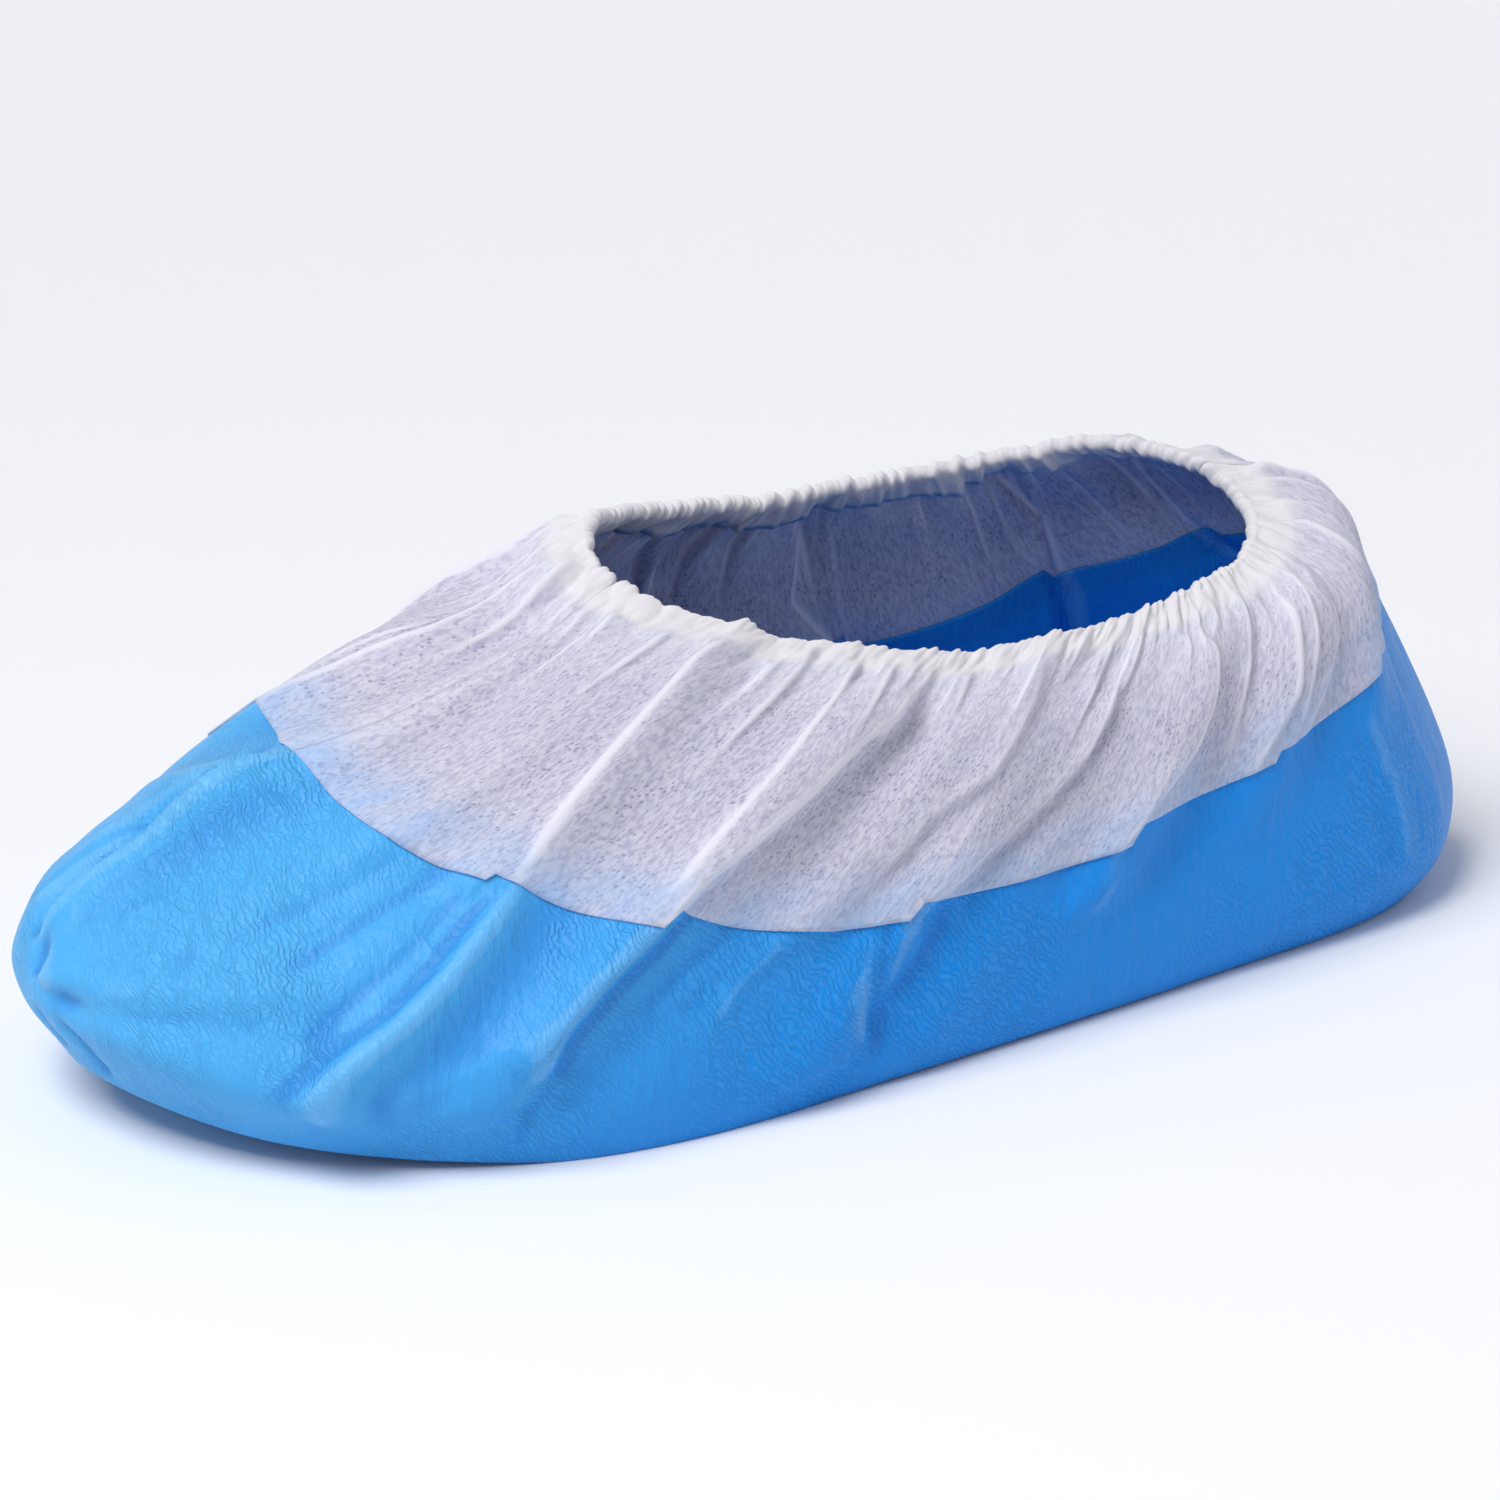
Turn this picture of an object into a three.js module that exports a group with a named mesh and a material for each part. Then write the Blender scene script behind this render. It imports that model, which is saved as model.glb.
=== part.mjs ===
// An anti-slip overshoe cover: a film sole and skirt, two nonwoven upper panels lapped over it, and
// an elastic in the turned-over hem that gathers the mouth. The cover keeps the form it has when
// it is pulled over a shoe.
//
// Millimetres. +Z is up, the toe points to -Y and +X is the wearer's left. The origin is on the
// floor under the middle of the cover.
import * as THREE from 'three';

// ---------- Driving sizes ----------

const WALL = 1.2;               // thickness of film and of nonwoven
const GAP = 0.3;                // clear gap between neighbouring pieces
const GATHERS = 60;             // small gathers round the elastic
const COLUMNS = 2 * GATHERS;    // point columns round the cover: a crest and a dip to each gather
const GATHER_DEPTH = 1.8;       // crest to dip, at the mouth
const GATHER_START = 2.6;       // ring height where the small gathers begin to show

const HEM_HEIGHT = 8.0;         // depth of the turned-over hem
const CHANNEL = 2.0;            // width of the space in the hem
const HEM_ROLL_STEPS = 4;       // facets over the hem's fold
const ELASTIC_HEIGHT = 5.0;     // width of the elastic band
const ELASTIC_TOP = 1.0;        // how far below the hem's fold the elastic sits
const ELASTIC_THICKNESS = 1.0;

const SEAM_WIDTH = 1.2;         // the two welded layers of a seam allowance
const SEAM_DEPTH = 4.0;         // how far the allowance stands inwards
const SEAM_START = 1.0;         // ring height where the allowances begin
const SEAM_CLEARANCE = 0.9;     // room between an allowance and the curved wall over it

const LAP = 0.22;               // how far the film runs up behind the nonwoven, in ring heights
const LAP_STEP_RUN = 0.65;      // stations over which a step in the lap line dies away

const MOUTH_LEAN = 9.0;         // how much lower the left edge of the mouth is than its middle
const LEAN_EASE = 20.0;         // half width over which the lean builds up
const TWIST_AT_RIM = 0.30;      // the cover is pulled on with a twist, in stations
const TWIST_PER_RING = 0.28;    // stations that a column turns from one ring to the next
const SEAM_BOW = 0.55;          // how far the toe seam bows to the left between its ends
const SEAM_BOW_REACH = 1.0;     // stations each side of the seam that bow with it

// Five rings go round the cover, one above the other. The meridians are named where they stand, and
// each row says where its meridian crosses the rings. These are the toe, the heel and the left
// side between them; the right side mirrors them.
const RINGS = ['sole', 'belly', 'lap', 'brow', 'rim'];
const MERIDIANS = [
  {
    at: 'toe',
    sole: [-5, -154, 9], belly: [-9, -164, 31], lap: [0, -114, 67], brow: [0, -74, 80], rim: [0, -43, 90],
  },
  {
    at: 'toe corner',
    sole: [35, -136, 4], belly: [41, -145, 21], lap: [33, -109, 57], brow: [21, -66, 79], rim: [14, -37, 90],
  },
  {
    at: 'ball',
    sole: [58, -90, 0], belly: [65, -92, 16], lap: [59, -74, 41], brow: [43, -40, 71], rim: [26, -16, 85],
  },
  {
    at: 'waist',
    sole: [60, -18, 0], belly: [65, -18, 15], lap: [63, -16, 32], brow: [51, 2, 62], rim: [34, 19, 79],
  },
  {
    at: 'ankle',
    sole: [52, 64, 0], belly: [56, 65, 15], lap: [53, 62, 37], brow: [45, 66, 66], rim: [33, 67, 80],
  },
  {
    at: 'heel corner',
    sole: [37, 131, 0], belly: [42, 136, 14], lap: [36, 124, 53], brow: [33, 114, 74], rim: [22, 100, 83],
  },
  {
    at: 'heel',
    sole: [0, 156, 1], belly: [0, 163, 14], lap: [0, 140, 64], brow: [0, 133, 79], rim: [0, 113, 83],
  },
];

// Main folds of the draped cloth. station: place round the cover, counted from the toe seam, 12 to
// a turn. lean: stations gained for each ring upwards. low and high: ring heights between which
// the fold shows. height: how far its crest stands out, or, if negative, how deep it is.
// width: half width in stations. step: rise of the lap line behind it, in ring heights.
const FOLDS = [
  { station: 0.00, lean: 0.00, low: 1.1, high: 3.6, height: 2.6, width: 0.22, step: 0.00 },
  { station: 0.51, lean: 0.00, low: 0.5, high: 1.4, height: -2.6, width: 0.32, step: 0.00 },
  { station: 1.05, lean: 0.10, low: 1.5, high: 4.5, height: 1.5, width: 0.20, step: 0.00 },
  { station: 1.65, lean: -0.15, low: 0.4, high: 4.5, height: 3.0, width: 0.18, step: 0.04 },
  { station: 2.35, lean: 0.05, low: 0.4, high: 4.5, height: 3.4, width: 0.17, step: 0.10 },
  { station: 2.85, lean: 0.10, low: 1.6, high: 4.5, height: 1.8, width: 0.15, step: 0.00 },
  { station: 3.27, lean: -0.05, low: 0.3, high: 4.5, height: 3.2, width: 0.16, step: 0.11 },
  { station: 3.61, lean: -0.08, low: 0.2, high: 2.6, height: 1.8, width: 0.12, step: 0.00 },
  { station: 3.99, lean: 0.06, low: 1.2, high: 4.5, height: 3.0, width: 0.15, step: 0.12 },
  { station: 4.57, lean: 0.04, low: 1.4, high: 4.5, height: 2.4, width: 0.15, step: 0.07 },
  { station: 5.15, lean: 0.05, low: 1.6, high: 4.5, height: 2.0, width: 0.16, step: 0.12 },
  { station: 6.00, lean: 0.00, low: 0.8, high: 3.6, height: 1.8, width: 0.18, step: 0.00 },
  { station: 6.90, lean: 0.05, low: 1.4, high: 4.5, height: 2.2, width: 0.17, step: 0.08 },
  { station: 7.60, lean: -0.05, low: 1.0, high: 4.5, height: 2.8, width: 0.16, step: 0.10 },
  { station: 8.30, lean: 0.06, low: 0.5, high: 4.5, height: 2.6, width: 0.17, step: 0.08 },
  { station: 9.05, lean: 0.00, low: 0.3, high: 4.5, height: 3.2, width: 0.17, step: 0.11 },
  { station: 9.75, lean: 0.08, low: 0.8, high: 4.5, height: 2.4, width: 0.18, step: 0.06 },
  { station: 10.50, lean: -0.06, low: 0.4, high: 4.5, height: 3.0, width: 0.19, step: 0.05 },
  { station: 11.20, lean: 0.05, low: 1.5, high: 4.5, height: 1.6, width: 0.22, step: 0.20 },
];
const FOLD_FADE = 0.5;          // ring heights over which a fold runs out at its ends
const TROUGH_SHARE = 0.55;      // depth of the dip behind a crest, as a share of its height
const TROUGH_PLACE = 1.7;       // where that dip lies, in fold widths

const FILM_LEVELS = [0, 0.3, 0.65, 1.0, 1.25, 1.65];        // ring heights below the lap line
const PANEL_LEVELS = [0.34, 0.52, 0.67, 0.79];              // shares of the way from lap to rim

// ---------- The draped surface ----------

const STATIONS = 2 * (MERIDIANS.length - 1);
const TOP_RING = RINGS.length - 1;
const LAP_RING = RINGS.indexOf('lap');
const PROBE = 0.01;             // step used to feel for the surface's direction

/** Returns a closed curve through one ring's crossings, left side first. */
function ringCurve(name) {
  const left = MERIDIANS.map((row) => new THREE.Vector3(...row[name]));
  const mirrored = new THREE.Vector3(-1, 1, 1);
  const right = left.slice(1, -1).reverse().map((point) => point.clone().multiply(mirrored));
  return new THREE.CatmullRomCurve3([...left, ...right], true, 'centripetal');
}

const ringCurves = RINGS.map(ringCurve);

/** Returns how many stations one place lies past another, by the shorter way round. */
function stationsPast(station, other) {
  const once = THREE.MathUtils.euclideanModulo(station - other, STATIONS);
  return once > STATIONS / 2 ? once - STATIONS : once;
}

/** Returns the place on the rings, as a share of a turn, of a station at a ring height. */
function turnAt(station, height) {
  const fromSeam = stationsPast(station, 0);
  const rise = THREE.MathUtils.clamp((height - 1) / (TOP_RING - 1), 0, 1);
  const bow = SEAM_BOW * Math.sin(Math.PI * rise) * Math.exp(-((fromSeam / SEAM_BOW_REACH) ** 2));
  const twist = TWIST_AT_RIM - TWIST_PER_RING * (TOP_RING - height);
  return THREE.MathUtils.euclideanModulo((station + twist + bow) / STATIONS, 1);
}

/** Returns a point of the smooth surface that the folds and the walls are measured from. */
function surfacePoint(station, height) {
  const turn = turnAt(station, height);
  const crossings = ringCurves.map((ring) => ring.getPoint(turn));
  const meridian = new THREE.CatmullRomCurve3(crossings, false, 'centripetal');
  const point = meridian.getPoint(height / TOP_RING);
  const rise = THREE.MathUtils.clamp((height - LAP_RING) / (TOP_RING - LAP_RING), 0, 1);
  point.z = Math.max(point.z - MOUTH_LEAN * rise * point.x / Math.hypot(point.x, LEAN_EASE), 0);
  return point;
}

/** Returns the direction up the surface and the direction out of it. */
function surfaceFrame(station, height) {
  const below = Math.max(height - PROBE, 0);
  const above = Math.min(height + PROBE, TOP_RING);
  const up = surfacePoint(station, above).sub(surfacePoint(station, below)).normalize();
  const along = surfacePoint(station + PROBE, height).sub(surfacePoint(station - PROBE, height));
  return { up, out: along.cross(up).normalize() };
}

/** Returns how far the folds push the cloth out at a place. */
function foldHeight(station, height) {
  let total = 0;
  for (const fold of FOLDS) {
    const centre = fold.station + fold.lean * (height - LAP_RING);
    const across = stationsPast(station, centre) / fold.width;
    const crest = Math.exp(-(across ** 2)) - TROUGH_SHARE * Math.exp(-((across - TROUGH_PLACE) ** 2));
    const rise = THREE.MathUtils.smoothstep(height, fold.low, fold.low + FOLD_FADE);
    const fall = THREE.MathUtils.smoothstep(height, fold.high - FOLD_FADE, fold.high);
    total += fold.height * crest * rise * (1 - fall);
  }
  return total;
}

/** Returns the ring height of the nonwoven's lower edge, which steps up behind each main fold. */
function lapLine(station) {
  let line = LAP_RING;
  for (const fold of FOLDS) {
    const past = THREE.MathUtils.euclideanModulo(station - fold.station, STATIONS);
    line += fold.step * Math.max(0, 1 - past / LAP_STEP_RUN);
  }
  return line;
}

// The columns stand evenly along the rim, so that the gathers are even. They all cross the rings.
const columns = Array.from({ length: COLUMNS + 1 }, (_, index) => {
  const station = ringCurves[TOP_RING].getUtoTmapping(index / COLUMNS) * STATIONS;
  return { station, side: index % 2 ? -1 : 1, lapLine: lapLine(station) };
});

/** Returns how far folds and gathers push a column out at a ring height. */
function reliefAt(column, height) {
  const gather = THREE.MathUtils.smoothstep(height, GATHER_START, TOP_RING);
  return foldHeight(column.station, height) + column.side * gather * GATHER_DEPTH / 2;
}

/** Returns a point that stands a distance off the draped surface. */
function drapedPoint(column, height, offset) {
  const { out } = surfaceFrame(column.station, height);
  return surfacePoint(column.station, height).addScaledVector(out, reliefAt(column, height) + offset);
}

/** Returns a point of the hem: a distance along it from its fold, and a distance off it. */
function hemPoint(column, along, offset) {
  const { up, out } = surfaceFrame(column.station, TOP_RING);
  return surfacePoint(column.station, TOP_RING)
    .addScaledVector(up, along)
    .addScaledVector(out, reliefAt(column, TOP_RING) + offset);
}

// ---------- Closed bodies from grids of points ----------

/** One closed body, made of grids of points and the triangles between them. */
class Body {
  constructor() {
    this.positions = [];
    this.triangles = [];
  }

  /** Adds rows of points and returns a function from row and column to a point's number. */
  addGrid(rows, wraps) {
    const first = this.positions.length / 3;
    const width = rows[0].length;
    for (const point of rows.flat()) {
      this.positions.push(point.x, point.y, point.z);
    }
    return (row, column) => first + row * width + (wraps ? column % width : column);
  }

  /** Adds the two triangles of a four-sided face. */
  addQuad(a, b, c, d) {
    this.triangles.push(a, b, c, a, c, d);
  }

  /** Adds the wall between an outer and an inner grid, with its top edge. */
  addWall(outer, inner, rowCount, columnCount) {
    const top = rowCount - 1;
    for (let column = 0; column < columnCount; column += 1) {
      const next = column + 1;
      for (let row = 0; row < top; row += 1) {
        this.addQuad(outer(row, column), outer(row, next), outer(row + 1, next), outer(row + 1, column));
        this.addQuad(inner(row, column), inner(row + 1, column), inner(row + 1, next), inner(row, next));
      }
      this.addQuad(outer(top, column), outer(top, next), inner(top, next), inner(top, column));
    }
  }

  /** Adds the lower edge of a wall. */
  addLowerEdge(outer, inner, columnCount) {
    for (let column = 0; column < columnCount; column += 1) {
      this.addQuad(outer(0, column + 1), outer(0, column), inner(0, column), inner(0, column + 1));
    }
  }

  /** Adds the two upright ends of a wall that doesn't go all the way round. */
  addEnds(outer, inner, rowCount, columnCount) {
    for (let row = 0; row + 1 < rowCount; row += 1) {
      this.addQuad(outer(row, 0), outer(row + 1, 0), inner(row + 1, 0), inner(row, 0));
      const last = columnCount;
      this.addQuad(outer(row + 1, last), outer(row, last), inner(row, last), inner(row + 1, last));
    }
  }

  /** Closes the lowest ring with strips from side to side, facing down or, if upward, up. */
  addFloor(ring, columnCount, upward) {
    const addTriangle = (a, b, c) => this.triangles.push(...(upward ? [a, c, b] : [a, b, c]));
    const half = columnCount / 2;
    for (let step = 0; step < half; step += 1) {
      const left = ring(0, step);
      const nextLeft = ring(0, step + 1);
      const right = ring(0, columnCount - step);
      const nextRight = ring(0, columnCount - step - 1);
      if (step > 0) {
        addTriangle(nextLeft, left, right);
      }
      if (step < half - 1) {
        addTriangle(nextLeft, right, nextRight);
      }
    }
  }

  /** Returns the body as a named mesh. */
  toMesh(name, material) {
    const geometry = new THREE.BufferGeometry();
    geometry.setAttribute('position', new THREE.Float32BufferAttribute(this.positions, 3));
    geometry.setIndex(this.triangles);
    geometry.computeVertexNormals();
    const mesh = new THREE.Mesh(geometry, material);
    mesh.name = name;
    return mesh;
  }
}

// ---------- The pieces ----------

/** The film: sole and both lower sides in one sheet, up to the lap. */
function lowerFilm(material) {
  const round = columns.slice(0, COLUMNS);
  const levels = [
    ...FILM_LEVELS.slice(1).map((level) => () => level),
    (column) => column.lapLine,
    (column) => column.lapLine + LAP,
  ];
  const soleEdge = round.map((column) => surfacePoint(column.station, 0));
  const innerEdge = round.map((column) => {
    const { out } = surfaceFrame(column.station, 0);
    const inward = new THREE.Vector3(-out.x, -out.y, 0).setLength(WALL);
    return surfacePoint(column.station, 0).add(inward).setZ(surfacePoint(column.station, 0).z + WALL);
  });
  const rowsAt = (offset) => levels.map(
    (level) => round.map((column) => drapedPoint(column, level(column), offset)),
  );
  const outerRows = [soleEdge, ...rowsAt(0)];
  const innerRows = [innerEdge, ...rowsAt(-WALL)];
  const body = new Body();
  const outer = body.addGrid(outerRows, true);
  const inner = body.addGrid(innerRows, true);
  body.addWall(outer, inner, outerRows.length, COLUMNS);
  body.addFloor(outer, COLUMNS, false);
  body.addFloor(inner, COLUMNS, true);
  return body.toMesh('lower_film', material);
}

/** One upper panel, from the lap up to the turned-over hem. */
function upperPanel(name, firstColumn, lastColumn, material) {
  const span = columns.slice(firstColumn, lastColumn + 1);
  const side = Math.sign(surfacePoint(span[Math.floor(span.length / 2)].station, LAP_RING).x);
  const nearFace = GAP;
  const farFace = GAP + WALL;
  const rollCentre = GAP - CHANNEL / 2;
  const outerRadius = CHANNEL / 2 + WALL;
  const innerRadius = CHANNEL / 2;

  const draped = (column, level) => (offset) => drapedPoint(column, level, offset);
  const hem = (column, along) => (offset) => hemPoint(column, along, offset);
  const section = (column) => {
    const start = column.lapLine + LAP;
    const above = PANEL_LEVELS.map((share) => start + share * (TOP_RING - start));
    const rises = [column.lapLine, start, ...above];
    const places = [
      ...rises.map((level) => draped(column, level)),
      hem(column, -HEM_HEIGHT),
      hem(column, 0),
    ];
    const outer = places.map((place) => place(farFace));
    const inner = places.map((place) => place(nearFace));
    for (let step = 1; step <= HEM_ROLL_STEPS; step += 1) {
      const angle = Math.PI * step / HEM_ROLL_STEPS;
      const rolled = (radius) => hemPoint(
        column, radius * Math.sin(angle), rollCentre + radius * Math.cos(angle),
      );
      outer.push(rolled(outerRadius));
      inner.push(rolled(innerRadius));
    }
    outer.push(hemPoint(column, -HEM_HEIGHT, rollCentre - outerRadius));
    inner.push(hemPoint(column, -HEM_HEIGHT, rollCentre - innerRadius));
    return { outer, inner };
  };

  const sections = span.map(section);
  for (const end of [sections[0], sections[sections.length - 1]]) {
    for (const point of [...end.outer, ...end.inner]) {
      point.x += side * GAP / 2;
    }
  }
  const rowCount = sections[0].outer.length;
  const rowsOf = (face) => Array.from(
    { length: rowCount }, (_, row) => sections.map((cut) => cut[face][row]),
  );
  const body = new Body();
  const outer = body.addGrid(rowsOf('outer'), false);
  const inner = body.addGrid(rowsOf('inner'), false);
  const quads = span.length - 1;
  body.addWall(outer, inner, rowCount, quads);
  body.addLowerEdge(outer, inner, quads);
  body.addEnds(outer, inner, rowCount, quads);
  return body.toMesh(name, material);
}

/** The elastic: a flat band that lies in the hem all round the mouth. */
function elasticBand(material) {
  const round = columns.slice(0, COLUMNS);
  const middle = GAP - CHANNEL / 2;
  const alongs = [-ELASTIC_TOP - ELASTIC_HEIGHT, -ELASTIC_TOP];
  const rowsAt = (offset) => alongs.map(
    (along) => round.map((column) => hemPoint(column, along, offset)),
  );
  const body = new Body();
  const outer = body.addGrid(rowsAt(middle + ELASTIC_THICKNESS / 2), true);
  const inner = body.addGrid(rowsAt(middle - ELASTIC_THICKNESS / 2), true);
  body.addWall(outer, inner, alongs.length, COLUMNS);
  body.addLowerEdge(outer, inner, COLUMNS);
  return body.toMesh('elastic_band', material);
}

/** A welded seam allowance: a narrow strip that stands inwards along the line where panels meet. */
function seamAllowance(name, column, startLevel, material) {
  const lapTop = column.lapLine + LAP;
  const underFilm = -WALL - SEAM_CLEARANCE;
  const underPanel = GAP - SEAM_CLEARANCE;
  const filmLevels = [...FILM_LEVELS.filter((level) => level >= startLevel), column.lapLine, lapTop];
  const rises = PANEL_LEVELS.map((share) => lapTop + share * (TOP_RING - lapTop));
  const places = [
    ...filmLevels.map((level) => ({ level, backing: underFilm })),
    ...rises.map((level) => ({ level, backing: underPanel })),
  ];
  const across = new THREE.Vector3(SEAM_WIDTH / 2, 0, 0);
  const direction = Math.sign(surfaceFrame(column.station, LAP_RING).out.y);
  const rowsAt = (depth) => places.map(({ level, backing }) => {
    const middle = drapedPoint(column, level, backing - depth);
    return [direction, -direction].map((side) => middle.clone().addScaledVector(across, side));
  });
  const body = new Body();
  const outer = body.addGrid(rowsAt(0), false);
  const inner = body.addGrid(rowsAt(SEAM_DEPTH), false);
  body.addWall(outer, inner, places.length, 1);
  body.addLowerEdge(outer, inner, 1);
  body.addEnds(outer, inner, places.length, 1);
  return body.toMesh(name, material);
}

// ---------- Assembly ----------

const film = new THREE.MeshStandardMaterial({ color: '#2f92e2', roughness: 0.38, metalness: 0 });
const nonwoven = new THREE.MeshStandardMaterial({ color: '#dfe0ec', roughness: 0.85, metalness: 0 });
const elastic = new THREE.MeshStandardMaterial({ color: '#f1efe4', roughness: 0.7, metalness: 0 });
const weld = new THREE.MeshStandardMaterial({ color: '#cfd6ea', roughness: 0.6, metalness: 0 });

const cover = new THREE.Group();
cover.add(
  lowerFilm(film),
  upperPanel('left_upper_panel', 0, COLUMNS / 2, nonwoven),
  upperPanel('right_upper_panel', COLUMNS / 2, COLUMNS, nonwoven),
  elasticBand(elastic),
  seamAllowance('toe_seam', columns[0], SEAM_START, weld),
  seamAllowance('heel_seam', columns[COLUMNS / 2], SEAM_START, weld),
);

export default cover;
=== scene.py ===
"""Looks of an anti-slip overshoe cover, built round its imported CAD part.

The cover is a blue film sole and skirt, two white nonwoven upper panels lapped over it, an elastic
in the turned-over hem, and a welded seam at the toe and at the heel. It keeps the form that it has
when it is pulled over a shoe.

Tables are in millimetres, as in the part's own source. Meshes are in metres, in the part's frame:
+Z is up, the toe points to -Y and +X is the wearer's left.
"""
import logging
import math
from dataclasses import dataclass
from enum import Enum, IntEnum
from typing import Any

import bpy
import numpy as np
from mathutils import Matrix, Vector


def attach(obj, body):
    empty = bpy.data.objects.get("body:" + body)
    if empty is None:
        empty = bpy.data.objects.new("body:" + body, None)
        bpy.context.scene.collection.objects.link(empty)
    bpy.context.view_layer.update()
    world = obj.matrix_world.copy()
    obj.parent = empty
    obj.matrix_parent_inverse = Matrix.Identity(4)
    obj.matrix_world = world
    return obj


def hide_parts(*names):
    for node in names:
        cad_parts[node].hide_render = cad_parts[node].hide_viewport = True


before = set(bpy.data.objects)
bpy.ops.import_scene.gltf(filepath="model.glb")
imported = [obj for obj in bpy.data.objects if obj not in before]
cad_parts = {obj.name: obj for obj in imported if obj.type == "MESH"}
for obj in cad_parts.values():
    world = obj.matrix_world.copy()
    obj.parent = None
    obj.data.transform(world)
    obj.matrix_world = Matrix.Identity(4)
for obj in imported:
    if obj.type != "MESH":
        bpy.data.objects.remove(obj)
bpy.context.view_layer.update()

LOG = logging.getLogger("overshoe_cover")
MM = 0.001

# A Mix node's sockets by number, because their names repeat, and a Map Range node's sizes in order.
COLOUR_A, COLOUR_B, COLOUR_OUT = 6, 7, 2
NUMBER_A, NUMBER_B = 2, 3
RANGE = ("From Min", "From Max", "To Min", "To Max")

Array = np.ndarray


class Side(Enum):
    """The wearer's side that a panel covers, as its sign along X."""

    LEFT = 1
    RIGHT = -1


class Ring(IntEnum):
    """The rings that the meridians cross, from the sole up."""

    SOLE = 0
    BELLY = 1
    LAP = 2
    BROW = 3
    RIM = 4


class SeamEnd(Enum):
    """The end of the cover that a seam closes, as its station."""

    TOE = 0
    HEEL = 6


class Slot(Enum):
    """The record's material slots."""

    FILM = "blue_film"
    NONWOVEN = "white_nonwoven"
    ELASTIC = "elastic"
    WELD = "welded_seam"


# ---------- Small helpers ----------


def linear(hex_colour: str) -> tuple[float, float, float, float]:
    """Turns an sRGB hex colour into linear light.

    Args:
        hex_colour: six hex digits after a hash sign.

    Returns:
        Linear red, green, blue and an alpha of one.
    """
    channels = [int(hex_colour[i:i + 2], 16) / 255 for i in (1, 3, 5)]
    low, knee, slope, power = 12.92, 0.04045, 1.055, 2.4
    light = [c / low if c <= knee else ((c + slope - 1) / slope) ** power for c in channels]
    return (*light, 1.0)


def ease(value: Array, start: float, end: float) -> Array:
    """Rises smoothly from nought at start to one at end.

    Args:
        value: where to look.
        start: where the rise begins.
        end: where it ends.

    Returns:
        The share risen, of the same shape as value.
    """
    share = np.clip((value - start) / (end - start), 0, 1)
    return share * share * (3 - 2 * share)


def unit(vectors: Array) -> Array:
    """Returns vectors scaled to length one."""
    return vectors / np.linalg.norm(vectors, axis=-1, keepdims=True)


def curve(p0: Array, p1: Array, p2: Array, p3: Array, share: Array) -> Array:
    """Goes from p1 to p2 on a centripetal Catmull-Rom curve.

    Args:
        p0: the point before.
        p1: the curve's start.
        p2: the curve's end.
        p3: the point after.
        share: the share of the way.

    Returns:
        The points reached.
    """
    least = 1e-8
    steps = (p0 - p1, p1 - p2, p2 - p3)
    gaps = [np.linalg.norm(step, axis=-1, keepdims=True) for step in steps]
    d0, d1, d2 = (np.maximum(gap, least) ** 0.5 for gap in gaps)
    leave = ((p1 - p0) / d0 - (p2 - p0) / (d0 + d1) + (p2 - p1) / d1) * d1
    arrive = ((p2 - p1) / d1 - (p3 - p1) / (d1 + d2) + (p3 - p2) / d2) * d1
    bend = -3 * p1 + 3 * p2 - 2 * leave - arrive
    return p1 + leave * share + bend * share ** 2 + (2 * p1 - 2 * p2 + leave + arrive) * share ** 3


def fill(tree: bpy.types.NodeTree, node: bpy.types.Node, inputs: dict[str | int, Any]) -> None:
    """Sets or links a node's inputs.

    Args:
        tree: the node's tree.
        node: the node.
        inputs: a value, or an output to link, for each input by name or number.
    """
    for key, value in inputs.items():
        if isinstance(value, bpy.types.NodeSocket):
            tree.links.new(value, node.inputs[key])
        else:
            node.inputs[key].default_value = value


def add_node(tree: bpy.types.NodeTree, kind: str, inputs: dict[str | int, Any] | None = None,
             **settings: Any) -> bpy.types.Node:
    """Adds a node with its settings and links.

    Args:
        tree: the tree to add to.
        kind: the node's type.
        inputs: a value, or an output to link, for each input by name or number.
        settings: attributes of the node.

    Returns:
        The new node.
    """
    node = tree.nodes.new(kind)
    for name, value in settings.items():
        setattr(node, name, value)
    fill(tree, node, inputs or {})
    return node


# ---------- The draped surface ----------


@dataclass(frozen=True)
class Meridian:
    """One line up the cover: where it crosses each of the five rings."""

    at: str
    sole: tuple[float, float, float]
    belly: tuple[float, float, float]
    lap: tuple[float, float, float]
    brow: tuple[float, float, float]
    rim: tuple[float, float, float]

    def crossings(self) -> list[tuple[float, float, float]]:
        """Returns the crossings from the sole up."""
        return [self.sole, self.belly, self.lap, self.brow, self.rim]


MERIDIANS = [
    Meridian("toe", (-5, -154, 9), (-9, -164, 31), (0, -114, 67), (0, -74, 80), (0, -43, 90)),
    Meridian("toe corner", (35, -136, 4), (41, -145, 21), (33, -109, 57), (21, -66, 79), (14, -37, 90)),
    Meridian("ball", (58, -90, 0), (65, -92, 16), (59, -74, 41), (43, -40, 71), (26, -16, 85)),
    Meridian("waist", (60, -18, 0), (65, -18, 15), (63, -16, 32), (51, 2, 62), (34, 19, 79)),
    Meridian("ankle", (52, 64, 0), (56, 65, 15), (53, 62, 37), (45, 66, 66), (33, 67, 80)),
    Meridian("heel corner", (37, 131, 0), (42, 136, 14), (36, 124, 53), (33, 114, 74), (22, 100, 83)),
    Meridian("heel", (0, 156, 1), (0, 163, 14), (0, 140, 64), (0, 133, 79), (0, 113, 83)),
]


@dataclass(frozen=True)
class Fold:
    """A main fold: its station, how far it leans, and from where to where up the cover it shows.

    Its place, lean and width are in stations, and low and high are ring heights. Its height is in mm.
    The step is how far up a ring it tucks the nonwoven's lower edge.
    """

    station: float
    lean: float
    low: float
    high: float
    height: float
    width: float
    step: float


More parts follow.
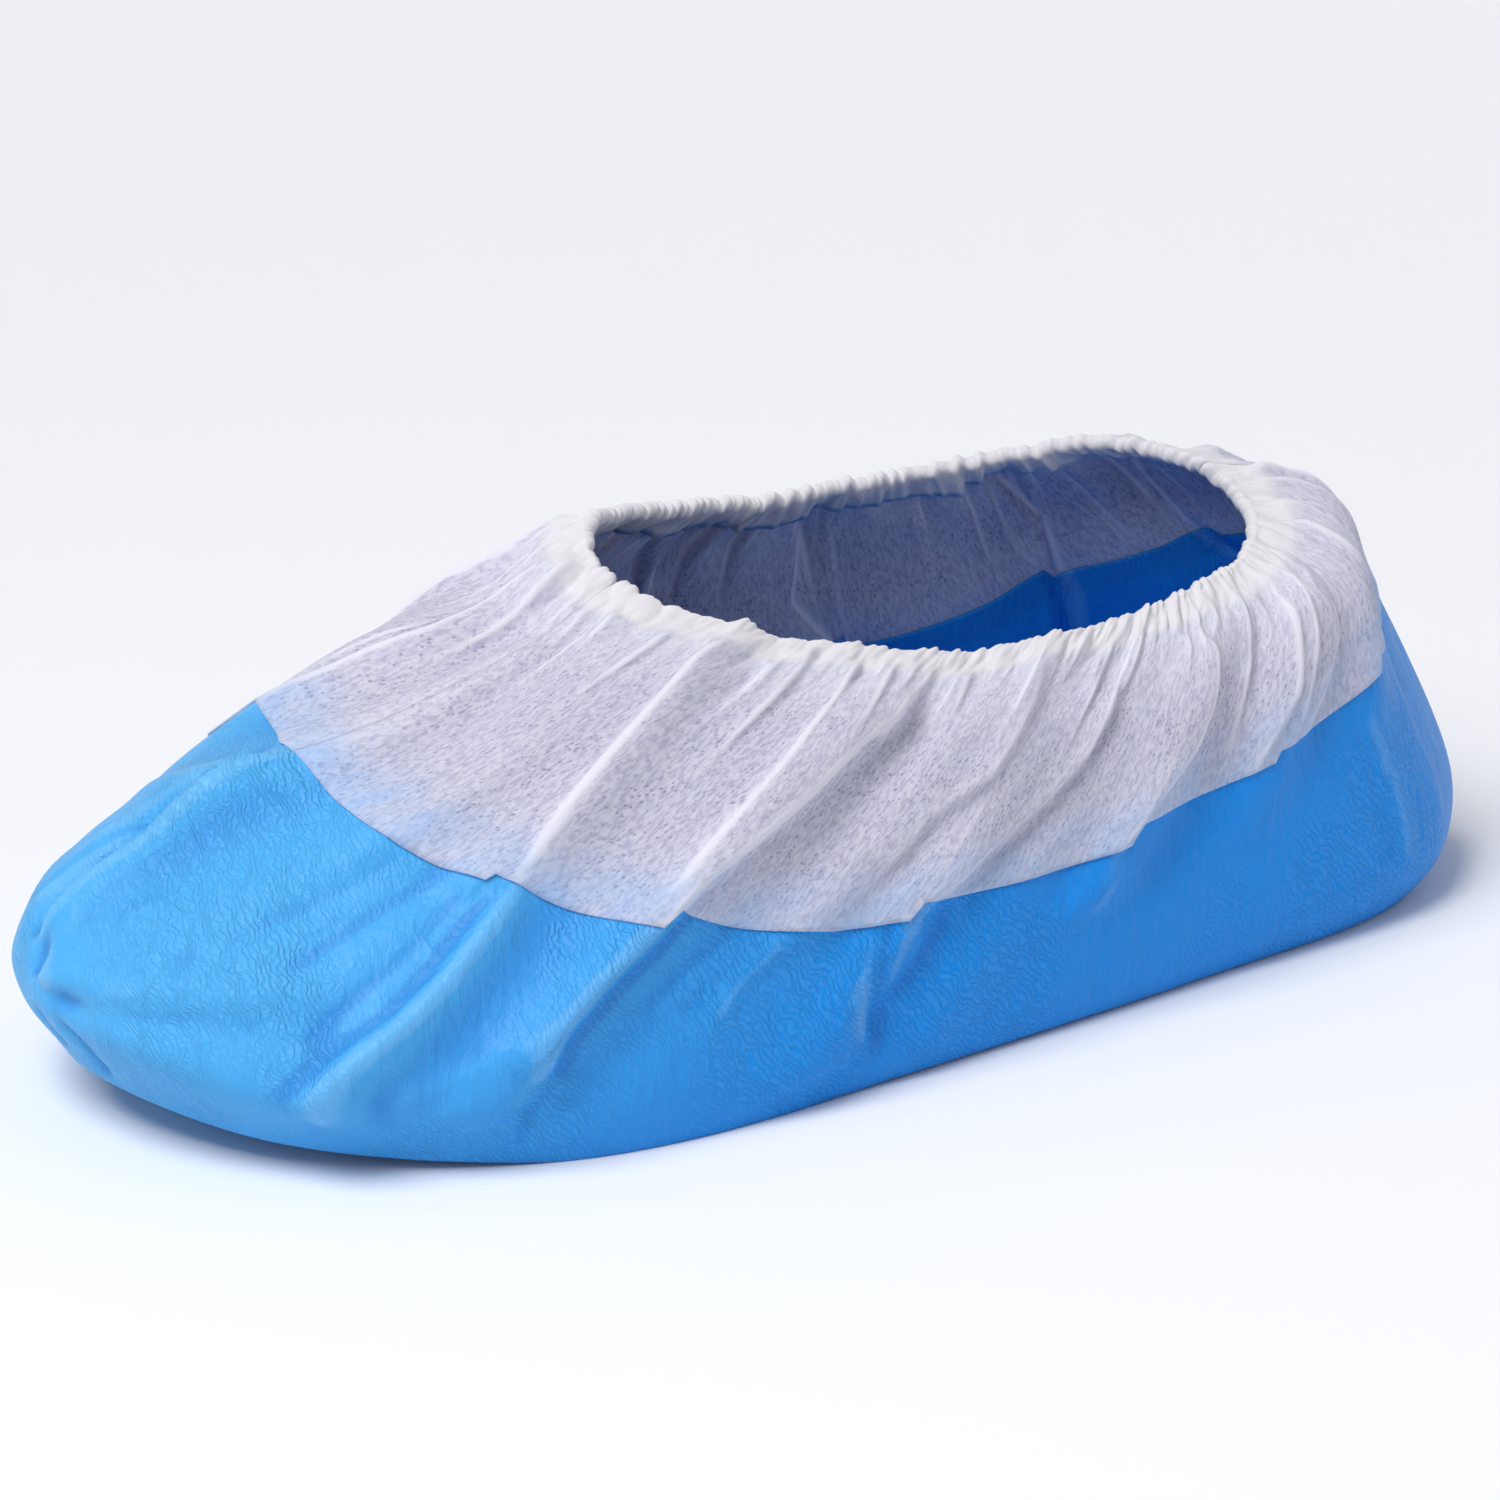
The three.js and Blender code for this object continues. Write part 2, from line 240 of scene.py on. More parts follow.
FOLDS = [
    Fold(0.00, 0.00, 1.1, 3.6, 2.6, 0.22, 0.00),
    Fold(0.51, 0.00, 0.5, 1.4, -2.6, 0.32, 0.00),
    Fold(1.05, 0.10, 1.5, 4.5, 1.5, 0.20, 0.00),
    Fold(1.65, -0.15, 0.4, 4.5, 3.0, 0.18, 0.04),
    Fold(2.35, 0.05, 0.4, 4.5, 3.4, 0.17, 0.10),
    Fold(2.85, 0.10, 1.6, 4.5, 1.8, 0.15, 0.00),
    Fold(3.27, -0.05, 0.3, 4.5, 3.2, 0.16, 0.11),
    Fold(3.61, -0.08, 0.2, 2.6, 1.8, 0.12, 0.00),
    Fold(3.99, 0.06, 1.2, 4.5, 3.0, 0.15, 0.12),
    Fold(4.57, 0.04, 1.4, 4.5, 2.4, 0.15, 0.07),
    Fold(5.15, 0.05, 1.6, 4.5, 2.0, 0.16, 0.12),
    Fold(6.00, 0.00, 0.8, 3.6, 1.8, 0.18, 0.00),
    Fold(6.90, 0.05, 1.4, 4.5, 2.2, 0.17, 0.08),
    Fold(7.60, -0.05, 1.0, 4.5, 2.8, 0.16, 0.10),
    Fold(8.30, 0.06, 0.5, 4.5, 2.6, 0.17, 0.08),
    Fold(9.05, 0.00, 0.3, 4.5, 3.2, 0.17, 0.11),
    Fold(9.75, 0.08, 0.8, 4.5, 2.4, 0.18, 0.06),
    Fold(10.50, -0.06, 0.4, 4.5, 3.0, 0.19, 0.05),
    Fold(11.20, 0.05, 1.5, 4.5, 1.6, 0.22, 0.20),
]


@dataclass(frozen=True)
class Pleat:
    """A sharp fold along a path of stations and ring heights.

    It rises softly on one side and falls steeply on the other, as cloth does that lies over
    itself. Sizes are in mm. The steep side is 1 towards higher stations, -1 towards lower ones,
    and 0 for a crease that is alike on both sides. A negative height makes a valley.
    """

    path: tuple[tuple[float, float], ...]
    height: float
    soft: float
    steep: float = 1.5
    side: int = 1


PLEATS = [
    # The lip along the toe seam with the valley beside it, its pucker, and a thin crease.
    Pleat(((0.44, 1.13), (0.28, 1.32), (0.20, 1.52), (0.02, 1.71), (-0.03, 2.02)), 4.8, 6.5, 1.2, -1),
    Pleat(((0.38, 1.14), (0.16, 1.36), (0.07, 1.55), (-0.11, 1.71), (-0.13, 1.94)), -3.2, 2.8, 2.8, 0),
    Pleat(((0.42, 1.18), (0.53, 1.07), (0.60, 0.99)), -3.2, 1.7, 1.7, 0),
    Pleat(((-0.72, 1.70), (-0.32, 1.78), (-0.10, 1.89), (-0.02, 2.0)), 1.9, 1.8, 1.8, 0),
    Pleat(((0.32, 1.10), (-0.21, 1.33), (-0.34, 1.42)), 1.3, 1.8, 1.8, 0),
    # Upright crinkles, and the shelf over the smooth nose with its dimple and creases.
    Pleat(((1.02, 1.20), (0.82, 1.36), (0.56, 1.44)), 0.7, 3.4, 2.2, 1),
    Pleat(((0.94, 1.32), (0.81, 1.43), (0.58, 1.50)), 0.6, 3.0, 2.2, -1),
    Pleat(((1.20, 1.32), (0.97, 1.45), (0.70, 1.58)), 0.8, 3.6, 2.2, 1),
    Pleat(((1.22, 1.44), (0.95, 1.59), (0.72, 1.68)), 0.6, 3.2, 2.2, -1),
    Pleat(((0.62, 0.98), (0.74, 1.06), (0.92, 1.12), (1.16, 1.26), (1.50, 1.38)), 2.4, 8.0, 2.4, 1),
    Pleat(((0.78, 0.64), (0.94, 0.49), (0.98, 0.33), (1.06, 0.16)), -1.9, 1.5, 1.5, 0),
    Pleat(((0.62, 0.66), (0.70, 0.45), (0.78, 0.25)), -1.1, 1.5, 1.5, 0),
    # Soft valleys that run down from the lap.
    Pleat(((1.22, 2.05), (1.14, 1.81), (1.06, 1.66), (0.97, 1.50)), -1.8, 4.6, 4.6, 0),
    Pleat(((1.50, 2.05), (1.38, 1.78), (1.34, 1.61), (1.28, 1.45)), -1.8, 4.2, 4.2, 0),
    Pleat(((1.60, 2.00), (1.64, 1.61), (1.60, 1.15)), -2.5, 5.2, 5.2, 0),
    # The first big fold of the side: film, then nonwoven.
    Pleat(((1.72, 0.80), (1.79, 1.18), (1.84, 1.36), (1.84, 1.55), (1.81, 1.73), (1.75, 2.1)),
          3.3, 8.0, 1.6, -1),
    Pleat(((1.78, 1.95), (1.62, 2.39), (1.52, 2.80), (1.41, 3.30), (1.33, 3.59), (1.21, 3.9)),
          2.2, 10.0, 1.6, -1),
    # The second big fold, whose edge laps over the cloth behind it.
    Pleat(((2.43, 1.05), (2.34, 1.36), (2.33, 1.66), (2.35, 2.1)), 2.9, 9.0, 1.4, 1),
    Pleat(((2.00, 0.92), (2.14, 1.10), (2.33, 1.40)), 0.9, 3.5, 3.0, 0),
    Pleat(((2.35, 1.95), (2.33, 2.24), (2.46, 2.73), (2.51, 3.03), (2.59, 3.30), (2.58, 3.6)),
          2.3, 6.5, 1.3, 1),
    Pleat(((2.28, 2.0), (2.25, 2.40), (2.26, 3.04), (2.26, 3.34), (2.21, 3.60), (2.12, 3.9)),
          1.4, 3.5, 1.6, -1),
    # The third fold is double.
    Pleat(((3.20, 2.10), (3.26, 1.75), (3.39, 1.21), (3.62, 0.48)), -1.3, 1.8, 1.8, 0),
    Pleat(((3.40, 2.10), (3.46, 1.62), (3.46, 1.16), (3.52, 0.76)), -1.5, 4.0, 4.0, 0),
    Pleat(((2.98, 2.20), (3.06, 2.61), (3.20, 2.81), (3.22, 3.05), (3.20, 3.40), (3.10, 3.9)),
          1.6, 3.8, 1.4, 1),
    Pleat(((3.25, 1.98), (3.41, 2.38), (3.53, 2.55), (3.60, 2.75), (3.61, 2.95), (3.60, 3.3)),
          2.2, 7.0, 1.3, 1),
    # Folds towards the heel.
    Pleat(((3.92, 1.95), (3.98, 2.27), (4.08, 2.48), (4.09, 2.76), (4.06, 3.08), (3.93, 3.5)),
          1.9, 6.5, 1.4, 1),
    Pleat(((4.44, 1.98), (4.54, 2.49), (4.51, 2.80), (4.50, 3.30)), 1.4, 5.5, 1.5, 1),
    Pleat(((4.66, 2.05), (4.76, 2.36), (4.80, 2.61), (4.81, 3.10)), 1.2, 5.5, 1.6, 1),
    Pleat(((5.30, 0.90), (5.18, 1.40), (5.02, 1.95)), 0.8, 4.0, 2.4, -1),
    Pleat(((5.55, 1.05), (5.45, 1.60), (5.36, 2.20)), 0.6, 4.0, 2.4, 1),
    Pleat(((4.90, 0.35), (4.78, 0.80), (4.62, 1.30)), 0.45, 4.5, 3.0, 0),
    # Small creases by the sole.
    Pleat(((2.52, 0.30), (2.44, 0.75), (2.40, 1.10)), 0.5, 3.4, 2.0, 1),
    Pleat(((2.62, 0.35), (2.58, 0.60), (2.50, 0.90)), 0.35, 3.0, 2.0, -1),
    Pleat(((2.85, 1.30), (2.80, 1.65), (2.84, 2.00)), 0.7, 2.8, 1.8, 1),
    Pleat(((2.62, 1.45), (2.64, 1.75), (2.70, 2.00)), 0.6, 2.4, 1.8, -1),
]


@dataclass(frozen=True)
class Bulge:
    """A soft rise or dip round one place.

    The place and its reach are in stations and in ring heights, and its height is in mm.
    """

    station: float
    level: float
    stations: float
    levels: float
    height: float


BULGES = [
    Bulge(0.84, 0.92, 0.11, 0.13, -1.7),
    Bulge(-0.45, 1.50, 0.55, 0.45, 3.5),
    Bulge(-1.00, 2.30, 0.30, 0.30, 0.9),
    Bulge(-1.15, 2.70, 0.35, 0.30, 1.8),
    Bulge(-0.75, 3.35, 0.80, 0.50, -3.6),
    Bulge(-1.50, 3.50, 0.40, 0.40, -3.0),
    Bulge(3.10, 0.15, 0.85, 0.70, 4.8),
    Bulge(4.60, 0.30, 1.20, 0.60, 1.4),
    Bulge(5.30, 0.60, 0.80, 0.50, 1.0),
    Bulge(5.45, 1.65, 0.25, 0.35, -1.2),
]


@dataclass(frozen=True)
class GatherBand:
    """One size of soft gather, with its sizes in mm.

    Its pitch goes along the rim and its run down the cloth. It has its full height a little below the
    depth that it grows to, and none at its reach. Puffed bands have round tops with sharp gaps.
    """

    pitch: float
    run: float
    height: float
    grows: float
    reach: float
    puffed: bool


GATHER_BANDS = [
    GatherBand(pitch=2.6, run=12, height=0.36, grows=-0.9, reach=13, puffed=True),
    GatherBand(pitch=5.0, run=18, height=0.42, grows=-0.9, reach=20, puffed=True),
    GatherBand(pitch=9.5, run=24, height=0.55, grows=0, reach=30, puffed=True),
    GatherBand(pitch=16.0, run=45, height=0.9, grows=8, reach=64, puffed=False),
    GatherBand(pitch=34.0, run=80, height=1.1, grows=20, reach=120, puffed=False),
]


@dataclass(frozen=True)
class Crease:
    """One crease under the hem: where along the rim it lies, and its shape (mm)."""

    start: float
    place: float
    length: float
    bend: float
    drift: float
    height: float
    soft: float
    side: int


@dataclass(frozen=True)
class CreasePlan:
    """The comma-shaped creases that start under the hem.

    Each pair of sizes is the least and the greatest in mm. Short creases are the commoner, and long
    ones are mostly higher and softer: each mix weighs a free draw against the crease's length.
    """

    count: int = 132
    jitter: float = 0.45
    short_power: float = 1.6
    start: tuple[float, float] = (0.0, 8.0)
    length: tuple[float, float] = (14.0, 58.0)
    bend: tuple[float, float] = (0.5, 5.0)
    drift: tuple[float, float] = (-0.06, 0.06)
    height: tuple[float, float] = (0.55, 1.5)
    height_mix: tuple[float, float] = (0.3, 0.7)
    soft: tuple[float, float] = (1.3, 3.2)
    soft_mix: tuple[float, float] = (0.4, 0.6)
    steep: float = 0.75
    steep_ahead: float = 0.7
    bend_run: float = 13.0
    grow_run: float = 5.0
    fade_from: float = 0.35
    widen_run: float = 60.0

    def drawn(self, draw: np.random.Generator, round_rim: float) -> list[Crease]:
        """Draws the creases.

        Args:
            draw: what to draw with.
            round_rim: the rim's length (mm).

        Returns:
            The creases in order round the rim.
        """
        even = np.arange(self.count) + draw.uniform(-self.jitter, self.jitter, self.count)
        size = draw.random(self.count) ** self.short_power
        start = self._between(self.start, draw.random(self.count))
        length = self._between(self.length, size)
        bend = self._between(self.bend, draw.random(self.count))
        drift = self._between(self.drift, draw.random(self.count))
        free, by_length = self.height_mix
        height = self._between(self.height, free * draw.random(self.count) + by_length * size)
        free, by_length = self.soft_mix
        soft = self._between(self.soft, free * draw.random(self.count) + by_length * size)
        side = np.where(draw.random(self.count) < self.steep_ahead, 1, -1)
        place = even / self.count * round_rim
        return [Crease(*row) for row in zip(start, place, length, bend, drift, height, soft, side)]

    @staticmethod
    def _between(sizes: tuple[float, float], share: Array) -> Array:
        """Returns sizes at shares of the way from the least to the greatest."""
        return sizes[0] + (sizes[1] - sizes[0]) * share


@dataclass(frozen=True)
class FarPleats:
    """The plainer pleats on the main folds of the wearer's right side, in ring heights and mm."""

    lowest: float = 0.8
    below_end: float = 0.15
    bend: float = 0.10
    bend_rate: float = 3.0
    points: int = 6
    height_share: float = 0.65
    soft: float = 6.5
    steep: float = 1.5
    steep_behind_every: int = 3


class RippleNoise:
    """Seeded smooth noise on a lattice of slopes that closes on itself round the cover."""

    ROWS_DOWN = 24
    # Raises the noise's usual span to about -1 to 1.
    TO_UNIT = 1.45

    def __init__(self, seed: int, around: int) -> None:
        """Draws the lattice.

        Args:
            seed: what the draw starts from.
            around: how many cells go round the cover.
        """
        draw = np.random.default_rng(seed)
        angle = draw.uniform(0, 2 * math.pi, (self.ROWS_DOWN, around))
        self.around = around
        self.slopes = np.stack([np.cos(angle), np.sin(angle)], axis=-1)

    def at(self, across: Array, down: Array) -> Array:
        """Reads the noise.

        Args:
            across: cells round the cover.
            down: cells down the cover.

        Returns:
            Values from about -1 to 1.
        """
        column = np.floor(across).astype(int)
        row = np.floor(down).astype(int)
        x = across - column
        y = down - row
        over, under = self._fade(x), self._fade(y)
        edges = []
        for dy in (0, 1):
            before, after = (self._pull(column + dx, row + dy, x - dx, y - dy) for dx in (0, 1))
            edges.append(before * (1 - over) + after * over)
        return self.TO_UNIT * (edges[0] * (1 - under) + edges[1] * under)

    @staticmethod
    def _fade(share: Array) -> Array:
        """Returns how far a lattice point's pull has passed to the next, with no kink at either."""
        return share ** 3 * (share * (6 * share - 15) + 10)

    def _pull(self, column: Array, row: Array, x: Array, y: Array) -> Array:
        """Returns what one lattice point gives at the distances x and y from it."""
        slope = self.slopes[row % self.ROWS_DOWN, column % self.around]
        return slope[..., 0] * x + slope[..., 1] * y


@dataclass(frozen=True)
class Places:
    """Places on the surface without folds, with their distances below the rim and above the lap (mm)."""

    station: Array
    height: Array
    below: Array
    above_lap: Array
    point: Array
    out: Array


class DrapeForm:
    """The draped surface that all pieces follow, as the part's source has it, with finer folds."""

    RINGS = len(Ring)
    STATIONS = 12
    TOP = 4.0
    LAP_RING = 2.0
    STEPS_PER_STATION = 100
    CLIMB_STEPS = 81
    PROBE = 0.01

    # The cover is pulled on askew: the mouth leans (mm) and the rings turn, and the seam bows (stations).
    MOUTH_LEAN = 9.0
    LEAN_EASE = 20.0
    TWIST_AT_RIM = 0.30
    TWIST_PER_RING = 0.28
    SEAM_BOW = 0.55

    # The main folds: how they fade at their ends, the trough beside each, and the lap's step at each.
    FOLD_FADE = 0.5
    TROUGH_SHARE = 0.55
    TROUGH_PLACE = 1.7
    LAP_STEP_RUN = 0.65
    SWELL_SHARE = 0.8

    # The pleats: the cut through them, how far off they still show, and how they taper at their ends.
    SOFT_POWER = 1.5
    DIP = 0.45
    DOUBLED = 0.35
    REACH = 4.0
    TAPER = 0.16
    PATH_STEPS = 6

    # Near the rim the elastic holds the folds down to a share, which grows between two depths (mm).
    HELD_SHARE = 0.3
    HELD_DEPTH = (2.0, 26.0)

    # The gathers: how puffs are rounded, and where they grow (mm) and fade (share of their reach).
    PUFF_GAIN = 1.7
    PUFF_POWER = 0.6
    PUFF_GROWTH = 1.0
    PUFF_FADES = 0.4

    def __init__(self, seed: int) -> None:
        """Lays out the rings and draws the gathers.

        Args:
            seed: what the gathers' draw starts from.
        """
        left = np.array([row.crossings() for row in MERIDIANS], float)
        right = left[-2:0:-1] * np.array([-1.0, 1.0, 1.0])
        self.rings = np.concatenate([left, right]).transpose(1, 0, 2)
        self.rim_stations, self.rim_lengths = self._measured_ring(Ring.RIM)
        self.round_rim = self.rim_lengths[-1]
        self.bands = [
            (band, RippleNoise(seed + n, round(self.round_rim / band.pitch)))
            for n, band in enumerate(GATHER_BANDS)
        ]
        self.pleats = PLEATS + self.far_pleats(FarPleats())
        self.plan = CreasePlan()
        self.creases = self.plan.drawn(np.random.default_rng(seed + len(GATHER_BANDS)), self.round_rim)

    def far_pleats(self, plan: FarPleats) -> list[Pleat]:
        """Lays plainer pleats on the main folds of the wearer's right side.

        Args:
            plan: their sizes.

        Returns:
            The pleats.
        """
        pleats = []
        for n, fold in enumerate(fold for fold in FOLDS if fold.station > self.STATIONS / 2):
            low, high = max(fold.low, plan.lowest), min(fold.high, self.TOP) - plan.below_end
            path = []
            for level in np.linspace(low, high, plan.points):
                lean = fold.lean * (level - self.LAP_RING)
                bend = plan.bend * (-1) ** n * math.sin(plan.bend_rate * level)
                path.append((fold.station + lean + bend, level))
            side = 1 if n % plan.steep_behind_every else -1
            pleats.append(Pleat(tuple(path), plan.height_share * fold.height, plan.soft, plan.steep, side))
        return pleats

    def _ring_point(self, ring: int, turn: Array) -> Array:
        """Finds points of a ring.

        Args:
            ring: the ring's number.
            turn: shares of a turn.

        Returns:
            Points in mm.
        """
        points = self.rings[ring]
        place = (turn % 1.0) * self.STATIONS
        first = np.floor(place).astype(int)
        share = (place - first)[..., None]
        return curve(*(points[(first + step) % self.STATIONS] for step in (-1, 0, 1, 2)), share)

    def _measured_ring(self, ring: int) -> tuple[Array, Array]:
        """Measures a ring.

        Args:
            ring: the ring's number.

        Returns:
            Fine stations, and the length along the ring up to each (mm).
        """
        stations = np.linspace(0, self.STATIONS, self.STEPS_PER_STATION * self.STATIONS + 1)
        points = self._ring_point(ring, stations / self.STATIONS)
        steps = np.linalg.norm(np.diff(points, axis=0), axis=1)
        return stations, np.concatenate([[0.0], np.cumsum(steps)])

    def even_stations(self, ring: int, first: float, last: float, count: int) -> Array:
        """Returns stations that stand evenly along a ring.

        Args:
            ring: the ring's number.
            first: the first station.
            last: the last station.
            count: how many stations.

        Returns:
            The stations in order.
        """
        stations, lengths = self._measured_ring(ring)
        ends = np.interp([first, last], stations, lengths)
        return np.interp(np.linspace(*ends, count), lengths, stations)

    def past(self, station: Array, other: Array | float) -> Array:
        """Returns how many stations one place lies past another, by the shorter way round."""
        half = self.STATIONS / 2
        return (station - other + half) % self.STATIONS - half

    def smooth(self, station: Array, height: Array) -> Array:
        """Finds points of the surface without folds.

        Args:
            station: stations round the cover.
            height: ring heights, of the same shape.

        Returns:
            Points in mm.
        """
        rise = np.clip((height - 1) / (self.TOP - 1), 0, 1)
        bow = self.SEAM_BOW * np.sin(math.pi * rise) * np.exp(-(self.past(station, 0) ** 2))
        twist = self.TWIST_AT_RIM - self.TWIST_PER_RING * (self.TOP - height)
        turn = (station + twist + bow) / self.STATIONS
        up = [self._ring_point(ring, turn) for ring in range(self.RINGS)]
        up = np.stack([2 * up[0] - up[1], *up, 2 * up[-1] - up[-2]])
        level = np.clip(np.floor(height).astype(int), 0, self.RINGS - 2)
        around = [np.take_along_axis(up, (level + n)[None, ..., None], 0)[0] for n in range(4)]
        point = curve(*around, (height - level)[..., None])
        lean = np.clip((height - self.LAP_RING) / (self.TOP - self.LAP_RING), 0, 1)
        x = point[..., 0]
        point[..., 2] -= self.MOUTH_LEAN * lean * x / np.hypot(x, self.LEAN_EASE)
        point[..., 2] = np.maximum(point[..., 2], 0)
        return point

    def directions(self, station: Array, height: Array) -> tuple[Array, Array]:
        """Finds the directions up the surface and out of it.

        Args:
            station: stations round the cover.
            height: ring heights, of the same shape.

        Returns:
            Both directions, of length one.
        """
        below = np.maximum(height - self.PROBE, 0)
        above = np.minimum(height + self.PROBE, self.TOP)
        up = unit(self.smooth(station, above) - self.smooth(station, below))
        ahead = self.smooth(station + self.PROBE, height)
        along = ahead - self.smooth(station - self.PROBE, height)
        return up, unit(np.cross(along, up))

    def lap_line(self, station: Array) -> Array:
        """Follows the nonwoven's lower edge, which each main fold lifts by a step.

        Args:
            station: stations round the cover.

        Returns:
            The edge's ring heights.
        """
        line = np.full_like(station, self.LAP_RING)
        for fold in FOLDS:
            gone = (station - fold.station) % self.STATIONS
            line += fold.step * np.maximum(0, 1 - gone / self.LAP_STEP_RUN)
        return line

    def places(self, station: Array, height: Array) -> Places:
        """Finds where a grid lies on the surface without folds.

        Args:
            station: stations, alike in every row.
            height: ring heights, of the same shape.

        Returns:
            The places.
        """
        level = np.linspace(0, self.TOP, self.CLIMB_STEPS)
        columns = np.broadcast_to(station[0], (len(level), station.shape[1]))
        path = self.smooth(columns, np.broadcast_to(level[:, None], columns.shape))
        steps = np.linalg.norm(np.diff(path, axis=0), axis=-1)
        climbed = np.concatenate([np.zeros((1, station.shape[1])), np.cumsum(steps, axis=0)])
        lap = self.lap_line(station[0])
        below = np.empty_like(height)
        above_lap = np.empty_like(height)
        for n in range(station.shape[1]):
            there = np.interp(height[:, n], level, climbed[:, n])
            below[:, n] = climbed[-1, n] - there
            above_lap[:, n] = there - np.interp(lap[n], level, climbed[:, n])
        _, out = self.directions(station, height)
        return Places(station, height, below, above_lap, self.smooth(station, height), out)

    def swells(self, places: Places) -> Array:
        """Adds up the main folds and the bulges.

        Args:
            places: where to look.

        Returns:
            How far they swell out (mm).
        """
        total = np.zeros_like(places.station)
        for fold in FOLDS:
            centre = fold.station + fold.lean * (places.height - self.LAP_RING)
            across = self.past(places.station, centre) / fold.width
            trough = np.exp(-((across - self.TROUGH_PLACE) ** 2))
            swell = np.exp(-(across ** 2)) - self.TROUGH_SHARE * trough
            shown = ease(places.height, fold.low, fold.low + self.FOLD_FADE)
            shown = shown * (1 - ease(places.height, fold.high - self.FOLD_FADE, fold.high))
            total += self.SWELL_SHARE * fold.height * swell * shown
        for bulge in BULGES:
            aside = self.past(places.station, bulge.station) / bulge.stations
            above = (places.height - bulge.level) / bulge.levels
            total += bulge.height * np.exp(-(aside ** 2) - above ** 2)
        return total

    @classmethod
    def profile(cls, ahead: Array, soft: Array | float, steep: Array | float) -> tuple[Array, Array]:
        """Cuts through a fold that is soft behind and steep ahead.

        Args:
            ahead: distances ahead of the ridge (mm).
            soft: how far the soft side reaches (mm).
            steep: how far the steep side reaches (mm).

        Returns:
            The rise from about nought to one, and the share of doubled, denser cloth.
        """
        gone = np.abs(ahead)
        behind = np.exp(-((gone / soft) ** cls.SOFT_POWER))
        fall = (1 + cls.DIP) * np.exp(-((gone / steep) ** 2)) - cls.DIP * behind
        doubled = np.exp(-((gone / np.where(ahead < 0, cls.DOUBLED * soft, steep)) ** 2))
        return np.where(ahead < 0, behind, fall), doubled

    def pleat(self, pleat: Pleat, places: Places) -> tuple[Array, Array]:
        """Lays one pleat on the surface.

        Args:
            pleat: the pleat.
            places: where to look.

        Returns:
            How far it stands out (mm), and the share of doubled cloth.
        """
        rise = np.zeros_like(places.station)
        doubled = np.zeros_like(rise)
        knots = np.array(pleat.path)
        legs = len(knots) - 1
        fine = np.linspace(0, legs, self.PATH_STEPS * legs + 1)
        line = self.smooth(*(np.interp(fine, np.arange(legs + 1), knots[:, n]) for n in (0, 1)))
        reach = self.REACH * pleat.soft
        low, high = line.min(axis=0) - reach, line.max(axis=0) + reach
        near = np.all((places.point > low) & (places.point < high), axis=-1)
        if not near.any():
            return rise, doubled
        point, out = places.point[near], places.out[near]
        least = np.full(len(point), np.inf)
        ahead = np.zeros(len(point))
        share = np.zeros(len(point))
        for n, leg in enumerate(np.diff(line, axis=0)):
            along = np.clip((point - line[n]) @ leg / (leg @ leg), 0, 1)
            gap = point - line[n] - along[:, None] * leg
            distance = np.linalg.norm(gap, axis=-1)
            closer = distance < least
            turned = -np.sign((np.cross(leg, gap) * out).sum(axis=-1))
            least = np.where(closer, distance, least)
            ahead = np.where(closer, distance * turned, ahead)
            share = np.where(closer, (n + along) / (len(line) - 1), share)
        tapered = ease(share, 0, self.TAPER) * (1 - ease(share, 1 - self.TAPER, 1))
        if pleat.side == 0:
            rise[near] = pleat.height * tapered * np.exp(-((least / pleat.soft) ** self.SOFT_POWER))
            return rise, doubled
        shape, dense = self.profile(ahead * pleat.side, pleat.soft, pleat.steep)
        rise[near] = pleat.height * tapered * shape
        doubled[near] = tapered * dense
        return rise, doubled

    def gathers(self, places: Places) -> tuple[Array, Array]:
        """Adds up the gathers that fan out from the elastic.

        Args:
            places: where to look.

        Returns:
            How far they stand out (mm), and the share of doubled cloth.
        """
        along = np.interp(places.station % self.STATIONS, self.rim_stations, self.rim_lengths)
        below = places.below
        gone = np.maximum(below, 0)
        total = np.zeros_like(along)
        doubled = np.zeros_like(along)
        for band, noise in self.bands:
            value = noise.at(along / self.round_rim * noise.around, below / band.run)
            if band.puffed:
                value = 2 * np.minimum(np.abs(value) * self.PUFF_GAIN, 1) ** self.PUFF_POWER - 1
            strength = ease(below, -self.PUFF_GROWTH, band.grows + self.PUFF_GROWTH)
            strength = strength * (1 - ease(below, band.reach * self.PUFF_FADES, band.reach))
            total += band.height * strength * value
        plan = self.plan
        for crease in self.creases:
            curl = crease.bend * (1 - np.exp(-gone / plan.bend_run))
            centre = crease.place + curl + crease.drift * gone
            ahead = (along - centre + self.round_rim / 2) % self.round_rim - self.round_rim / 2
            near = np.abs(ahead) < self.REACH * crease.soft
            near = near & (below < crease.length) & (below > crease.start)
            if not near.any():
                continue
            depth = below[near]
            strength = ease(depth, crease.start, crease.start + plan.grow_run)
            strength = strength * (1 - ease(depth, plan.fade_from * crease.length, crease.length))
            soft = crease.soft * (1 + depth / plan.widen_run)
            shape, dense = self.profile(crease.side * ahead[near], soft, plan.steep)
            total[near] += crease.height * strength * shape
            doubled[near] = np.maximum(doubled[near], strength * dense)
        return total, doubled

    def relief(self, places: Places) -> tuple[Array, Array]:
        """Adds up the folds, pleats and gathers.

        Args:
            places: where to look.

        Returns:
            How far they push the cloth out (mm), and the share of doubled cloth.
        """
        total, doubled = self.gathers(places)
        free = self.HELD_SHARE + (1 - self.HELD_SHARE) * ease(places.below, *self.HELD_DEPTH)
        total += free * self.swells(places)
        for pleat in self.pleats:
            rise, dense = self.pleat(pleat, places)
            total += free * rise
            doubled = np.maximum(doubled, free * dense)
        return total, doubled


